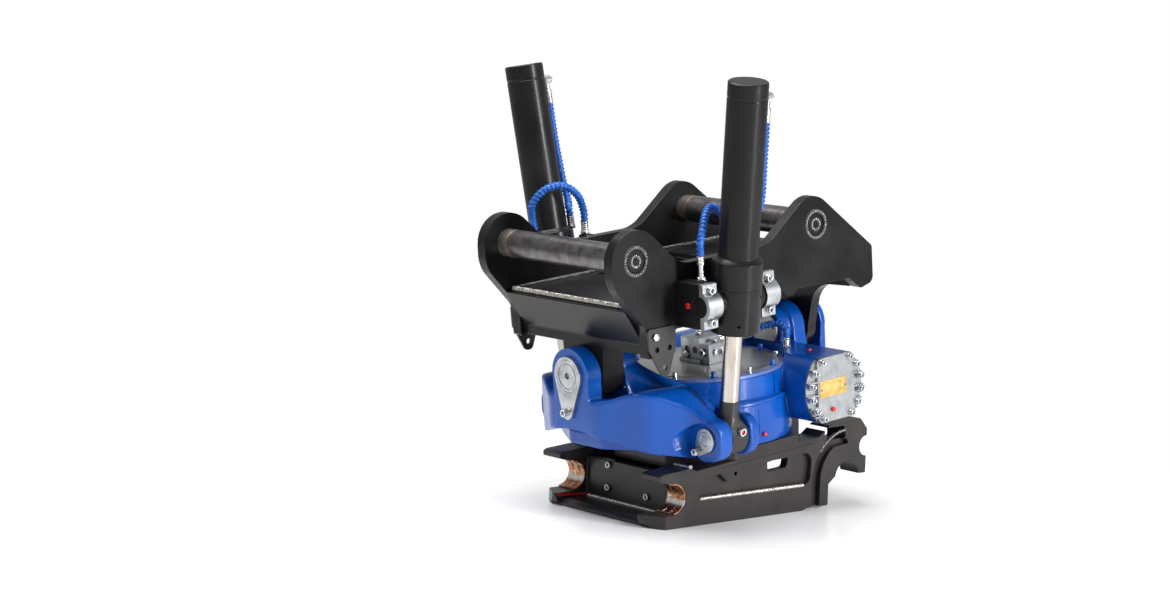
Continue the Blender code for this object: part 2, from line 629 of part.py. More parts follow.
def yoke_floor_guide():
    half = [(0.060, -0.405, 0.02), (0.180, -0.335, 0.06), (0.215, -0.240, 0.02), (0.215, -0.160, 0),
            (0.100, -0.130, 0)]
    plan = half + [(-x, y, radius) for x, y, radius in reversed(half)]
    return plate("yoke_floor", [outline(plan)], -0.186, -0.150, "Z", None, slew)


def rotor_housing():
    drum = [(0, DRUM_TOP), (DRUM_R - 0.002, DRUM_TOP), (DRUM_R, DRUM_TOP - 0.002), (DRUM_R, DRUM_FLANGE + 0.006),
            (DRUM_LOW_R + 0.004, DRUM_FLANGE + 0.003), (DRUM_LOW_R + 0.004, DRUM_FLANGE - 0.004),
            (DRUM_LOW_R, DRUM_FLANGE - 0.008), (DRUM_LOW_R, DRUM_BOTTOM), (0, DRUM_BOTTOM)]
    housing = turned("rotor_housing", drum, BLUE, slew, steps=36)

    fuse(housing, plate("worm_tube", [worm_section()], -WORM_HOUSING_X, WORM_HOUSING_X, "X", None, slew))

    ear = ear_shape(0.067, 0.062, -0.137)
    fuse(housing, plate("front_ear", [outline(ear)], *FRONT_EAR, "Y", None, slew))
    inner = [(-0.110, -0.190, 0), (-0.085, -0.060, 0.05)] + arc(0, 0, 0.068, 186, -6, 11)
    inner += [(0.085, -0.060, 0.05), (0.110, -0.190, 0)]
    fuse(housing, plate("inner_front_ear", [outline(inner)], *FRONT_INNER_EAR, "Y", None, slew))
    fuse(housing, block("yoke_saddle", (-0.0615, FRONT_EAR[0] + 0.012, -0.1365), (0.0615, -0.300, -0.088),
                        parent=slew))
    fuse(housing, block("yoke_neck", (-0.080, -0.300, -0.196), (0.080, -0.120, -0.066), parent=slew))
    fuse(housing, arm_guide(), inner_web_guide(), *clevis_guides(), yoke_floor_guide())

    rear_ear = ear_shape(0.064, 0.060, -0.170)
    fuse(housing, plate("rear_ear", [outline(rear_ear)], *REAR_EAR, "Y", None, slew))
    rear_inner = [(-0.090, -0.150, 0)] + arc(0, 0, 0.066, 186, -6, 11) + [(0.090, -0.150, 0)]
    fuse(housing, plate("rear_inner_ear", [outline(rear_inner)], *REAR_INNER_EAR, "Y", None, slew))
    hub_end = REAR_INNER_EAR[0] + 0.01
    fuse(housing, bar("rear_hub", 0.058, REAR_HUB_Y, hub_end, (0, 0, 0), "Y", parent=slew))
    fuse(housing, block("rear_saddle", (-0.0595, hub_end, -0.169), (0.0595, REAR_EAR[1] - 0.004, -0.076),
                        parent=slew))

    cut(housing, bar("disc_seat", DISC_R + 0.001, DRUM_TOP, 0.02, (0, 0, 0), "Z", parent=slew, sides=36))
    cavity = ring("cavity", SLEEVE_R, CAVITY_R, DRUM_BOTTOM - 0.03, CAVITY_TOP, None, slew, steps=28)
    cut(housing, cavity)
    bore(housing, SWIVEL_R + GAP, -0.30, 0.05, (0, 0, 0), "Z", slew, 20)
    bore(housing, WORM_BORE_R, -0.30, 0.30, (0, WORM_Y, WORM_Z), "X", slew, 20)
    bore(housing, TILT_PIN_R + GAP, -0.46, -0.22, (0, 0, 0), "Y", slew)
    bore(housing, TILT_PIN_R + GAP, 0.20, 0.42, (0, 0, 0), "Y", slew)
    for sign in (1, -1):
        middle = (sign * (CLEVIS_X - 0.007), 0, CLEVIS_Z - 0.007)
        cut(housing, bar("lock_face", 0.050, -0.36, CLEVIS_FRONT_EAR[0], middle, "Y", parent=slew))
        bore(housing, CLEVIS_PIN_R + GAP, -0.30, -0.10, (sign * CLEVIS_X, 0, CLEVIS_Z), "Y", slew)


# Covers, bearings and pins on the housing
def top_disc():
    step = 0.0012
    profile = [(0, DISC_TOP), (0.168, DISC_TOP), (0.170, DISC_TOP - step), (DISC_R - 0.001, DISC_TOP - step),
               (DISC_R, DISC_TOP - step - 0.001), (DISC_R, DRUM_TOP + GAP), (0, DRUM_TOP + GAP)]
    disc = turned("top_disc", profile, STEEL, slew, steps=36)
    face = DISC_TOP - step
    head = bar_mesh("disc_bolt", 0.0095, 0.012, 6)
    angles = [math.radians(15 + 30 * k) for k in range(12)]
    places = [at(0.190 * math.cos(a), 0.190 * math.sin(a), face + 0.005) for a in angles]
    stud(disc, "disc_bolts", head, places, slew)


def worm_covers():
    """Cast covers that close the worm housing, each held by twelve socket bolts round its edge."""
    edge = worm_section()
    inner = WORM_HOUSING_X + GAP
    near = plate("worm_cover_near", [edge], inner, COVER_X, "X", CAST_ALU, slew)
    shaft = circle(WORM_Y, WORM_Z, 0.024, 18)
    far = plate("worm_cover_far", [edge, shaft], -COVER_X, -inner, "X", CAST_ALU, slew)
    steps = [22.5 * k - 56.25 for k in range(6)]
    angles = [math.radians(base + step) for base in (0, 180) for step in steps]
    bolt = bar_mesh("cover_bolt", 0.0065, 0.010, 6)
    for cover, sign in ((near, 1), (far, -1)):
        places = [at(sign * (COVER_X + 0.004), WORM_Y + COVER_BOLT_R * math.cos(a),
                     WORM_Z + COVER_BOLT_R * math.sin(a), "X") for a in angles]
        stud(cover, "cover_bolts", bolt, places, slew)
    cap = bar_mesh("port_plug", 0.006, 0.008, 8)
    stud(near, "cover_plug", cap, [at(COVER_X + 0.003, WORM_Y + 0.004, WORM_Z - 0.052, "X")], slew)


def slew_motor():
    """The orbit motor on the far end of the worm."""
    face = -COVER_X - GAP
    motor = bar("slew_motor", 0.040, face - 0.072, face, (0, WORM_Y, WORM_Z), "X", BLACK, slew, 24)
    fuse(motor, block("motor_flange", (face - 0.014, WORM_Y - 0.048, WORM_Z - 0.048),
                      (face - 0.0002, WORM_Y + 0.048, WORM_Z + 0.048), parent=slew, bevel=0.004))
    for y in (-0.020, 0.020):
        fuse(motor, bar("motor_port", 0.012, WORM_Z, WORM_Z + 0.054, (face - 0.045, WORM_Y + y, 0), "Z",
                        parent=slew, sides=12))


def worm_and_wheel():
    """The worm turns in the housing against the wheel that is bolted to the coupler's deck."""
    pitch = 2 * math.pi * WHEEL_PITCH_R / WHEEL_TEETH
    slope = math.tan(PRESSURE_ANGLE)

    points = []
    for tooth in range(WHEEL_TEETH):
        middle = 2 * math.pi * tooth / WHEEL_TEETH + QUARTER
        root = TOOTH_T / 2 + DEDENDUM * slope * 0.9
        tip = TOOTH_T / 2 - ADDENDUM * slope
        for radius, half in ((WHEEL_PITCH_R - DEDENDUM + 0.0005, -root), (WHEEL_PITCH_R + ADDENDUM, -tip),
                             (WHEEL_PITCH_R + ADDENDUM, tip), (WHEEL_PITCH_R - DEDENDUM + 0.0005, root)):
            angle = middle + half / radius
            points.append((radius * math.cos(angle), radius * math.sin(angle)))
    low, high = WORM_Z - WHEEL_HALF_WIDTH, WORM_Z + WHEEL_HALF_WIDTH
    wheel = plate("worm_wheel", [points, circle(0, 0, 0.115, 24)], low, high, "Z", BRONZE, slew)
    twist = pitch / (2 * math.pi * WORM_PITCH_R) / WHEEL_PITCH_R
    for vertex in wheel.data.vertices:
        vertex.co = Matrix.Rotation(twist * vertex.co.z, 3, "Z") @ vertex.co
    fuse(wheel, ring("wheel_skirt", 0.119, 0.1437, DECK_TOP + GAP, low + 0.004, None, slew, steps=24))

    bm = bmesh.new()
    base = WORM_PITCH_R - DEDENDUM - 0.002
    outer = WORM_PITCH_R + ADDENDUM
    tip = TOOTH_T / 2 - ADDENDUM * slope
    root = TOOTH_T / 2 + (DEDENDUM + 0.002) * slope
    corners = ((base, 0, -root), (outer, 0, -tip), (outer, 0, tip), (base, 0, root))
    face = bm.faces.new([bm.verts.new(corner) for corner in corners])
    turns = 4.5
    steps = 10
    total = round(turns * steps)
    bmesh.ops.spin(bm, geom=[face, *face.edges, *face.verts], cent=(0, 0, 0), axis=(0, 0, 1),
                   dvec=(0, 0, pitch / steps), angle=2 * math.pi * turns, steps=total, use_duplicate=False)
    bmesh.ops.translate(bm, verts=bm.verts, vec=(0, 0, -pitch * turns / 2))
    bmesh.ops.remove_doubles(bm, verts=bm.verts, dist=0.00001)
    bmesh.ops.recalc_face_normals(bm, faces=bm.faces)
    thread = add("worm_thread", finish(bm, "worm_thread"), None, worm_axis, turn=(0, QUARTER, 0))

    core = WORM_PITCH_R - DEDENDUM
    end = 0.248
    shaft = [(0, end), (0.0190, end), (0.0200, end - 0.001), (0.0200, 0.076), (core, 0.068), (core, -0.068),
             (0.0200, -0.076), (0.0200, -end), (0, -end)]
    worm = turned("worm_shaft", shaft, STEEL, worm_axis, (0, 0, 0), "X", steps=20)
    fuse(worm, thread)


def worm_bearings():
    near, far = BEARING_X
    for side, low, high in (("near", near, far), ("far", -far, -near)):
        ring(f"worm_bearing_{side}", 0.0200 + GAP, WORM_BORE_R - GAP, low, high, STEEL, slew,
             (0, WORM_Y, WORM_Z), "X", 20)


def slew_rings():
    ring("slew_bearing", 0.145 + GAP, CAVITY_R - 0.0015, *RACE, BRONZE, slew)
    bar("swivel_core", SWIVEL_R, DECK_TOP + GAP, DRUM_TOP - 0.003, (0, 0, 0), "Z", STEEL, slew, 24)


def tear_shape(radius, tail_u, tail_v, tail_radius):
    """A round plate drawn out to one side, to take its locking bolt."""
    reach = math.hypot(tail_u, tail_v)
    lean = math.acos((radius - tail_radius) / reach)
    aim = math.atan2(tail_v, tail_u)
    first = math.degrees(aim + lean)
    last = math.degrees(aim - lean) + 360
    return arc(0, 0, radius, first, last, 14) + arc(tail_u, tail_v, tail_radius, last - 360, first, 4)


def tilt_pins():
    """Each tilt pin is held by a drawn-out lock plate and one socket bolt."""
    for place, low, high in (("front", FRONT_EAR[0] + 0.001, FRONT_INNER_EAR[1] - 0.004),
                             ("rear", REAR_HUB_Y + 0.001, REAR_EAR[1] - 0.002)):
        bar(f"tilt_pin_{place}", TILT_PIN_R, low, high, (0, 0, 0), "Y", STEEL, slew)
    bolt = bar_mesh("lock_bolt", 0.010, 0.016, 10)
    front = FRONT_EAR[0] - GAP
    edge = outline(tear_shape(0.048, -0.008, -0.092, 0.019))
    piece = plate("tilt_lock_front", [edge], front - 0.009, front, "Y", ZINC, slew)
    stud(piece, "front_lock_bolt", bolt, [at(-0.008, front - 0.016, -0.092, "Y")], slew)
    rear = REAR_HUB_Y - GAP
    edge = outline(arc(0, 0, 0.046, -37, 217, 14))
    piece = plate("tilt_lock_rear", [edge], rear - 0.008, rear, "Y", ZINC, slew)
    stud(piece, "rear_lock_bolts", bolt, [at(x, rear - 0.015, 0.014, "Y") for x in (-0.034, 0.034)], slew)


def clevis_pins():
    bolt = bar_mesh("lock_bolt", 0.010, 0.016, 10)
    front = CLEVIS_FRONT_EAR[0] - GAP
    for side, sign in SIDE.items():
        bar(f"clevis_pin_{side}", CLEVIS_PIN_R, CLEVIS_FRONT_EAR[0] + 0.001, CLEVIS_REAR_EAR[1] - 0.002,
            (sign * CLEVIS_X, 0, CLEVIS_Z), "Y", STEEL, slew, 24)
        edge = outline(moved(tear_shape(0.030, -0.026, -0.030, 0.013), CLEVIS_X, CLEVIS_Z))
        edge = [(sign * u, v) for u, v in edge]
        piece = plate(f"clevis_lock_{side}", [edge], front - 0.008, front, "Y", ZINC, slew)
        head = [at(sign * (CLEVIS_X - 0.026), front - 0.015, CLEVIS_Z - 0.030, "Y")]
        stud(piece, "clevis_lock_bolt", bolt, head, slew)


def valve_block():
    """The ported block on the disc, with its plugs and the hose that leads back along the rotor."""
    low = (-0.060, -0.020, DISC_TOP + GAP)
    high = (0.045, 0.050, 0.018)
    piece = block("valve_block", low, high, CAST_ALU, slew, bevel=0.002)
    mid = (low[2] + high[2]) / 2
    places = [at(x, low[1] - 0.004, mid, "Y") for x in (-0.038, -0.008, 0.022)]
    places += [at(high[0] + 0.004, y, mid, "X") for y in (0.000, 0.030)]
    places += [at(-0.030, 0.015, high[2] + 0.004)]
    stud(piece, "valve_plugs", bar_mesh("valve_plug", 0.011, 0.010, 6), places, slew)
    fitting = bar_mesh("valve_hose_end", 0.0095, 0.026, 8)
    start = (-0.008, high[1], 0.002)
    stud(piece, "valve_port", fitting, [at(start[0], start[1] + 0.012, start[2], "Y")], slew)
    floor = WORM_Z + COVER_FLAT + GAP
    last = (0.110, 0.190)
    bar("return_elbow", 0.0095, floor, floor + 0.026, (*last, 0), "Z", ZINC, slew, 12)
    route = [(start[0], start[1] + 0.026, start[2]), (start[0], start[1] + 0.040, start[2]),
             (0.010, 0.130, 0.010), (0.045, 0.165, 0.022), (0.085, 0.186, 0.032),
             (*last, floor + 0.048), (*last, floor + 0.027)]
    hose("valve_hose", route, slew)


def feed_hoses():
    """The short looped hoses that feed each trunnion, from its base block to a bracket on the side plate."""
    start = TRUNNION_Z + BEARING_HALF_Z + 0.0614
    end = FEED_BRACKET_TOP + 0.0334
    near = [(0.3120, -0.2765, 0.318), (0.3125, -0.2750, 0.334), (0.304, -0.257, 0.364),
            (0.286, -0.231, 0.391), (0.270, -0.202, 0.404), (0.264, -0.173, 0.397),
            (0.266, -0.149, 0.371), (0.2715, -0.142, 0.336)]
    far = [(0.3120, -0.2765, 0.318), (0.3130, -0.2800, 0.340), (0.307, -0.284, 0.372),
           (0.292, -0.264, 0.404), (0.276, -0.232, 0.418), (0.266, -0.198, 0.411),
           (0.264, -0.164, 0.382), (0.2715, -0.143, 0.340)]
    for side, loop in (("near", near), ("far", far)):
        route = [(*FEED_OUTER, start), *loop, (*FEED_INNER, end)]
        hose(f"feed_hose_{side}", [(SIDE[side] * x, y, z) for x, y, z in route], tilt)


# Tool coupler: level on the floor under the leaning deck
def coupler_side_frames():
    rear_y = PIN_SPACING
    deck_line = DECK_TOP - DECK_T - GAP
    rise = 0.492

    def top(y, level):
        return (y, rotor_plane(JAW_Y + y, level) - JAW_Z)

    corners = [(-0.088, -0.046, 0.004), (-0.070, -0.062, 0.004), (-0.042, -0.0727, 0), (0.443, -0.0727, 0),
               (0.456, -0.067, 0), (0.533, -0.067, 0.004), (0.533, -0.012, 0)]
    corners += arc(rear_y, 0, REAR_JAW_R, 172, 8, 10)
    corners += [(0.667, 0.006, 0.003)] + arc(0.668, 0.077, 0.027, 268, 92, 7)
    corners += [(0.667, 0.122, 0.006), (*top(0.640, DRUM_BOTTOM - 0.002), 0.012), (*top(0.530, DRUM_BOTTOM - 0.002), 0.01),
                (*top(rise, deck_line), 0.01), (*top(0.070, deck_line), 0), (0.052, 0.072, 0.01),
                (-0.080, 0.072, 0.006), (-0.098, 0.066, 0.002), (-0.096, 0.055, 0.002), (-0.030, 0.041, 0)]
    corners += arc(0, 0, JAW_R, 100, -90, 11) + [(-0.086, -0.0405, 0.003)]
    edge = outline(moved(corners, JAW_Y, JAW_Z))
    pocket = [(0.080, -0.006, 0.004), (0.465, -0.006, 0.022), (0.470, 0.079, 0.026), (0.222, 0.057, 0),
              (0.208, 0.034, 0.006), (0.176, 0.027, 0.006), (0.152, 0.050, 0), (0.080, 0.044, 0.006)]
    window = [(0.326, 0.036, 0.004), (0.392, 0.042, 0.010), (0.398, 0.071, 0.010), (0.324, 0.067, 0.004)]
    rear_window = [(0.514, 0.098, 0.008), (0.590, 0.101, 0.008), (0.584, 0.136, 0.010), (0.512, 0.134, 0.008)]
    hollow = [(0.100, -0.050, 0.010), (0.466, -0.050, 0.010), (0.466, 0.066, 0.010), (0.100, 0.034, 0.010)]
    groove = [(0.473, -0.090, 0)] + arc(rear_y, 0, 0.127, 180, 128, 4) + [(0.594, 0.101, 0), (0.600, 0.089, 0)]
    groove += arc(rear_y, 0, 0.097, 122, 180, 4) + [(0.503, -0.090, 0)]
    eyelet = circle(0.2031, 0.046, 0.0055, 8)
    for side, sign in SIDE.items():
        inner, outer = COUPLER_HALF - HOOK_T, COUPLER_HALF
        faces = sorted((sign * inner, sign * outer))
        piece = plate(f"coupler_side_{side}", [edge], *faces, "X", CHARCOAL)
        depths = ((pocket, outer - 0.013, outer + 0.01), (hollow, inner - 0.01, inner + 0.030),
                  (window, inner - 0.02, outer + 0.02), (rear_window, inner - 0.02, outer + 0.02),
                  (groove, outer - 0.014, outer + 0.01))
        for shape, low, high in depths:
            faces = sorted((sign * low, sign * high))
            cut(piece, plate("side_cutter", [outline(moved(shape, JAW_Y, JAW_Z))], *faces, "X"))
        hole = [point + Vector((JAW_Y, JAW_Z)) for point in eyelet]
        faces = sorted((sign * (outer - 0.012), sign * (outer + 0.01)))
        cut(piece, plate("eyelet_cutter", [hole], *faces, "X"))


def jaw_liners():
    inner, outer = JAW_R - 0.0045, JAW_R - 0.0009
    edge = outline(moved(arc(0, 0, outer, 96, -86, 12) + arc(0, 0, inner, -86, 96, 12), JAW_Y, JAW_Z))
    for side, sign in SIDE.items():
        faces = sorted((sign * (COUPLER_HALF - HOOK_T + 0.002), sign * (COUPLER_HALF - 0.002)))
        plate(f"jaw_liner_{side}", [edge], *faces, "X", BRONZE)


def coupler_cross_pieces():
    """The plates that tie the two sides: front wall and lip, centre web and rear lock beam."""
    inside = COUPLER_HALF - HOOK_T - GAP
    wall_y = JAW_Y + 0.045
    wall_top = rotor_plane(wall_y, DECK_TOP - DECK_T - 0.013) - GAP - 0.001
    wall = block("coupler_front_wall", (-inside, wall_y, 0.012), (inside, wall_y + 0.022, wall_top), CHARCOAL)
    lip = [(-0.042, -0.0727, 0), (0.092, -0.0727, 0), (0.092, -0.0545, 0), (-0.030, -0.0545, 0.004),
           (-0.048, -0.064, 0.003)]
    fuse(wall, plate("coupler_lip", [outline(moved(lip, JAW_Y, JAW_Z))], -inside, inside, "X"))
    head = bar_mesh("wall_bolt", 0.0085, 0.009, 10)
    places = [at(x, wall_y - 0.0035, JAW_Z + z, "Y") for x in (-0.074, 0.074) for z in (-0.022, 0.036)]
    stud(wall, "front_wall_bolts", head, places, None)

    web_top = rotor_plane(-0.02, DECK_TOP - DECK_T - 0.013) - GAP - 0.0005
    web = block("coupler_centre_web", (-inside, -0.020, 0), (inside, 0.020, web_top), CHARCOAL)
    bore(web, 0.028 + GAP, -0.1, 0.1, (0, 0, LOCK_Z + 0.006), "Y", None)
    beam_front = JAW_Y + 0.456
    beam = block("coupler_lock_beam", (-inside, beam_front, JAW_Z - 0.067),
                 (inside, JAW_Y + 0.532, JAW_Z - 0.010), CHARCOAL)
    for x in (-LOCK_PIN_X, LOCK_PIN_X):
        bore(beam, LOCK_PIN_R + GAP, beam_front - 0.05, beam_front + 0.15, (x, 0, LOCK_Z), "Y", None)


def slew_deck():
    """The octagonal deck, square to the rotor axis, which carries the worm wheel."""
    reach = DECK_APOTHEM
    side = reach * math.tan(math.pi / 8)
    low, high = DECK_TOP - DECK_T, DECK_TOP
    wide = COUPLER_HALF
    corner = reach * math.sqrt(2) - wide
    half = [(wide, -corner, 0), (side, -reach, 0), (-side, -reach, 0), (-wide, -corner, 0)]
    points = half + [(-u, -v, r) for u, v, r in half]
    deck = plate("slew_deck", [outline(points), circle(0, 0, 0.040, 20)], low, high, "Z", CHARCOAL, slew)
    limit = 0.150
    cut_side = reach * math.sqrt(2) - limit
    trim = 0.002
    half = [(limit, -cut_side, 0), (side - trim, trim - reach, 0), (trim - side, trim - reach, 0),
            (-limit, -cut_side, 0)]
    points = half + [(-u, -v, r) for u, v, r in half]
    loops = [outline(points), circle(0, 0, 0.060, 20)]
    fuse(deck, plate("deck_underlay", loops, low - 0.013, low + 0.001, "Z", None, slew))


def lock_gear():
    """A small ram in the centre web pushes a crosshead, whose two pins close the rear jaws."""
    height = 0.006
    barrel = [(0, 0.130), (0.0125, 0.130), (0.0125, 0.290), (0.028, 0.290), (0.028, 0.100), (0, 0.100)]
    turned("lock_barrel", barrel, BLACK, lock_axis, (0, 0, height), "Y", 16)
    head = block("lock_crosshead", (-0.130, 0.322, -0.018), (0.130, 0.347, 0.024), BLACK, lock_axis, 0.003)
    for x in (-LOCK_PIN_X, LOCK_PIN_X):
        fuse(head, bar("lock_pin", LOCK_PIN_R, 0.340, 0.528, (x, 0, 0), "Y", parent=lock_axis, sides=16))
    fuse(head, bar("lock_rod", 0.0120, 0.150, 0.330, (0, 0, height), "Y", parent=lock_axis, sides=12))


hitch_side_plates()
hitch_pins()
hitch_front_plate()
hitch_rear_plate()
lug_bushes()
trunnion_caps()
corner_brackets()
for ram_side in SIDE:
    ram(ram_side)
rotor_housing()
top_disc()
worm_covers()
slew_motor()
worm_and_wheel()
worm_bearings()
slew_rings()
tilt_pins()
clevis_pins()
valve_block()
feed_hoses()
coupler_side_frames()
jaw_liners()
coupler_cross_pieces()
slew_deck()
lock_gear()
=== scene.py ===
import json
import math

import bmesh
import bpy
from mathutils import Matrix, Vector


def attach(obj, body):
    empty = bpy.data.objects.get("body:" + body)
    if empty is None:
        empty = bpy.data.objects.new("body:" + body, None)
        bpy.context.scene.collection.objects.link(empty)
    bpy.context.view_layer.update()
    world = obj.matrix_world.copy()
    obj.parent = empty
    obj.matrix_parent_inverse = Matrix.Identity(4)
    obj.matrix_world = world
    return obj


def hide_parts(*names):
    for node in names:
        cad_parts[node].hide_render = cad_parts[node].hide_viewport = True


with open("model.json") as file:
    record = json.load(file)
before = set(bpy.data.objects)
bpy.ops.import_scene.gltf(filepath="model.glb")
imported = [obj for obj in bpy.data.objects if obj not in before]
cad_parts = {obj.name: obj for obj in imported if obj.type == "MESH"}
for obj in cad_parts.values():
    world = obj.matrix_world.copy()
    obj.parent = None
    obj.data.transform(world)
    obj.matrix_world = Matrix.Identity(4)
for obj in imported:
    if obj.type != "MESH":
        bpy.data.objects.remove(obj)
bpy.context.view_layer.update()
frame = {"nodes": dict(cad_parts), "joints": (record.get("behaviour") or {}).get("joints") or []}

# The camera stands where the photograph was taken, in front of the near ram. The lamps are soft boxes: a big
# one overhead, a tall strip on the right that draws a line down the round pieces, and two weak ones in front.


def lamp(name, place, target, size, watts):
    light = bpy.data.lights.new(name, "AREA")
    light.shape = "RECTANGLE"
    light.size, light.size_y = size
    light.energy = watts
    holder = bpy.data.objects.new(name, light)
    holder.location = place
    holder.rotation_euler = (Vector(target) - Vector(place)).to_track_quat("-Z", "Y").to_euler()
    bpy.context.scene.collection.objects.link(holder)


camera = bpy.data.cameras.new("photo_camera")
camera.sensor_width = 36.0
camera.lens = 84.4
camera_holder = bpy.data.objects.new("photo_camera", camera)
camera_holder.location = (5.0724, -4.7378, 1.3330)
camera_holder.rotation_euler = (1.453206, -0.032100, 0.866981)
bpy.context.scene.collection.objects.link(camera_holder)
bpy.context.scene.camera = camera_holder

lamp("overhead_box", (-0.5, -0.6, 3.6), (0, 0, 0.4), (2.6, 2.6), 210)
lamp("left_box", (-1.4, -4.4, 2.2), (0, 0, 0.5), (1.8, 2.4), 14)
lamp("right_strip", (4.6, 1.2, 1.8), (0, 0, 0.6), (0.7, 3.0), 300)
lamp("near_fill", (4.2, -3.6, 3.2), (0, 0, 0.4), (1.6, 1.6), 14)
bpy.context.scene.view_settings.view_transform = "Standard"

# The studio: a white sweep that the machine stands on, and white all round it. The camera sees plain
# white, and what the metal mirrors and what lights the paint is softer, so that the lamps draw the
# shapes.


def rgb(code):
    """An sRGB hex colour as linear values."""
    parts = [int(code[i:i + 2], 16) / 255 for i in (0, 2, 4)]
    return tuple(c / 12.92 if c <= 0.04045 else ((c + 0.055) / 1.055) ** 2.4 for c in parts) + (1.0,)


def node(tree, kind, sockets=None, **settings):
    """A node with its settings, and its sockets, each a value or another node's output."""
    made = tree.nodes.new(kind)
    for key, value in settings.items():
        setattr(made, key, value)
    for key, value in (sockets or {}).items():
        if isinstance(value, bpy.types.NodeSocket):
            tree.links.new(value, made.inputs[key])
        else:
            made.inputs[key].default_value = value
    return made


def by_ray(tree, seen, mirrored, scattered):
    """One strength for what the camera sees, one for reflections, and one for the light on matt surfaces."""
    path = node(tree, "ShaderNodeLightPath")
    sight = node(tree, "ShaderNodeMath", {0: path.outputs["Is Camera Ray"],
                                          1: path.outputs["Is Transmission Ray"]},
                 operation="ADD", use_clamp=True)
    rest = node(tree, "ShaderNodeMix", {0: path.outputs["Is Glossy Ray"], "A": scattered, "B": mirrored})
    return node(tree, "ShaderNodeMix", {0: sight.outputs[0], "A": rest.outputs[0], "B": seen}).outputs[0]


world = bpy.data.worlds.new("studio")
bpy.context.scene.world = world
world.use_nodes = True
background = world.node_tree.nodes["Background"]
background.inputs["Color"].default_value = (1.0, 1.0, 1.0, 1.0)
world.node_tree.links.new(by_ray(world.node_tree, 1.0, 0.45, 0.34), background.inputs["Strength"])

floor_mesh = bpy.data.meshes.new("studio_floor")
bm = bmesh.new()
bmesh.ops.create_grid(bm, x_segments=1, y_segments=1, size=40.0)
bm.to_mesh(floor_mesh)
bm.free()
floor = bpy.data.objects.new("studio_floor", floor_mesh)
bpy.context.scene.collection.objects.link(floor)
sweep = bpy.data.materials.new("white_sweep")
sweep.use_nodes = True
tree = sweep.node_tree
shader = tree.nodes["Principled BSDF"]
shader.inputs["Roughness"].default_value = 0.16
shader.inputs["Specular IOR Level"].default_value = 0.35
place = node(tree, "ShaderNodeTexCoord").outputs["Object"]
dust = node(tree, "ShaderNodeTexNoise", {"Vector": place, "Scale": 1.4, "Detail": 3.0})
tone = node(tree, "ShaderNodeMix", {0: dust.outputs["Fac"], "A": rgb("F4F4F4"), "B": rgb("FAFAFA")},
            data_type="RGBA")
tree.links.new(tone.outputs[2], shader.inputs["Base Color"])
far_away = node(tree, "ShaderNodeVectorMath", {0: place}, operation="LENGTH").outputs["Value"]
far_away = node(tree, "ShaderNodeMapRange", {"Value": far_away, "From Min": 0.75,
                                             "From Max": 1.7}).outputs[0]
white = node(tree, "ShaderNodeEmission", {"Color": rgb("FFFFFF"), "Strength": 1.0})
share = node(tree, "ShaderNodeMath", {0: far_away, 1: by_ray(tree, 1.0, 0.0, 0.0)},
             operation="MULTIPLY").outputs[0]
faded = node(tree, "ShaderNodeMixShader", {0: share, 1: shader.outputs[0], 2: white.outputs[0]})
tree.links.new(faded.outputs[0], tree.nodes["Material Output"].inputs["Surface"])
floor_mesh.materials.append(sweep)

# Hitch side plates: 30 mm plate, flame cut to outline, its edges ground and sprayed charcoal. Each
# carries the two eyes for the cross pins and the welded base blocks of the trunnion bearings.

PLATE_INSIDE, PLATE_T = 0.2255, 0.030
PIN_SPACING, PIN_R, PIN_Z, FRONT_PIN_Y = 0.600, 0.035, 0.308, -0.432
RAM_Y, TRUNNION_X, TRUNNION_Z, TRUNNION_R = -0.194, 0.339, 0.186, 0.025
BEARING_OFFSET, BEARING_T, BEARING_HALF_Z = 0.095, 0.045, 0.055
SIDES = {"near": 1, "far": -1}

slew_joint = next(joint for joint in frame["joints"] if joint["name"] == "slew")
lean = math.atan2(-slew_joint["axis"][1], slew_joint["axis"][2])
ROTOR = Matrix.Translation(slew_joint["pos_m"]) @ Matrix.Rotation(lean, 4, "X")
LEVEL = Matrix()
LAY = {"X": Matrix.Rotation(math.pi / 2, 4, "Z") @ Matrix.Rotation(math.pi / 2, 4, "X"),
       "Y": Matrix.Rotation(math.pi / 2, 4, "X"), "Z": Matrix()}
AIM = {"X": Matrix.Rotation(math.pi / 2, 4, "Y"), "Y": Matrix.Rotation(-math.pi / 2, 4, "X"), "Z": Matrix()}


def piece_from(bm, name, place):
    """An object whose mesh is what bm holds, moved to its place on the machine."""
    bmesh.ops.remove_doubles(bm, verts=bm.verts, dist=0.00001)
    bmesh.ops.transform(bm, matrix=place, verts=bm.verts)
    bmesh.ops.recalc_face_normals(bm, faces=bm.faces)
    mesh = bpy.data.meshes.new(name)
    bm.to_mesh(mesh)
    bm.free()
    piece = bpy.data.objects.new(name, mesh)
    bpy.context.scene.collection.objects.link(piece)
    return piece


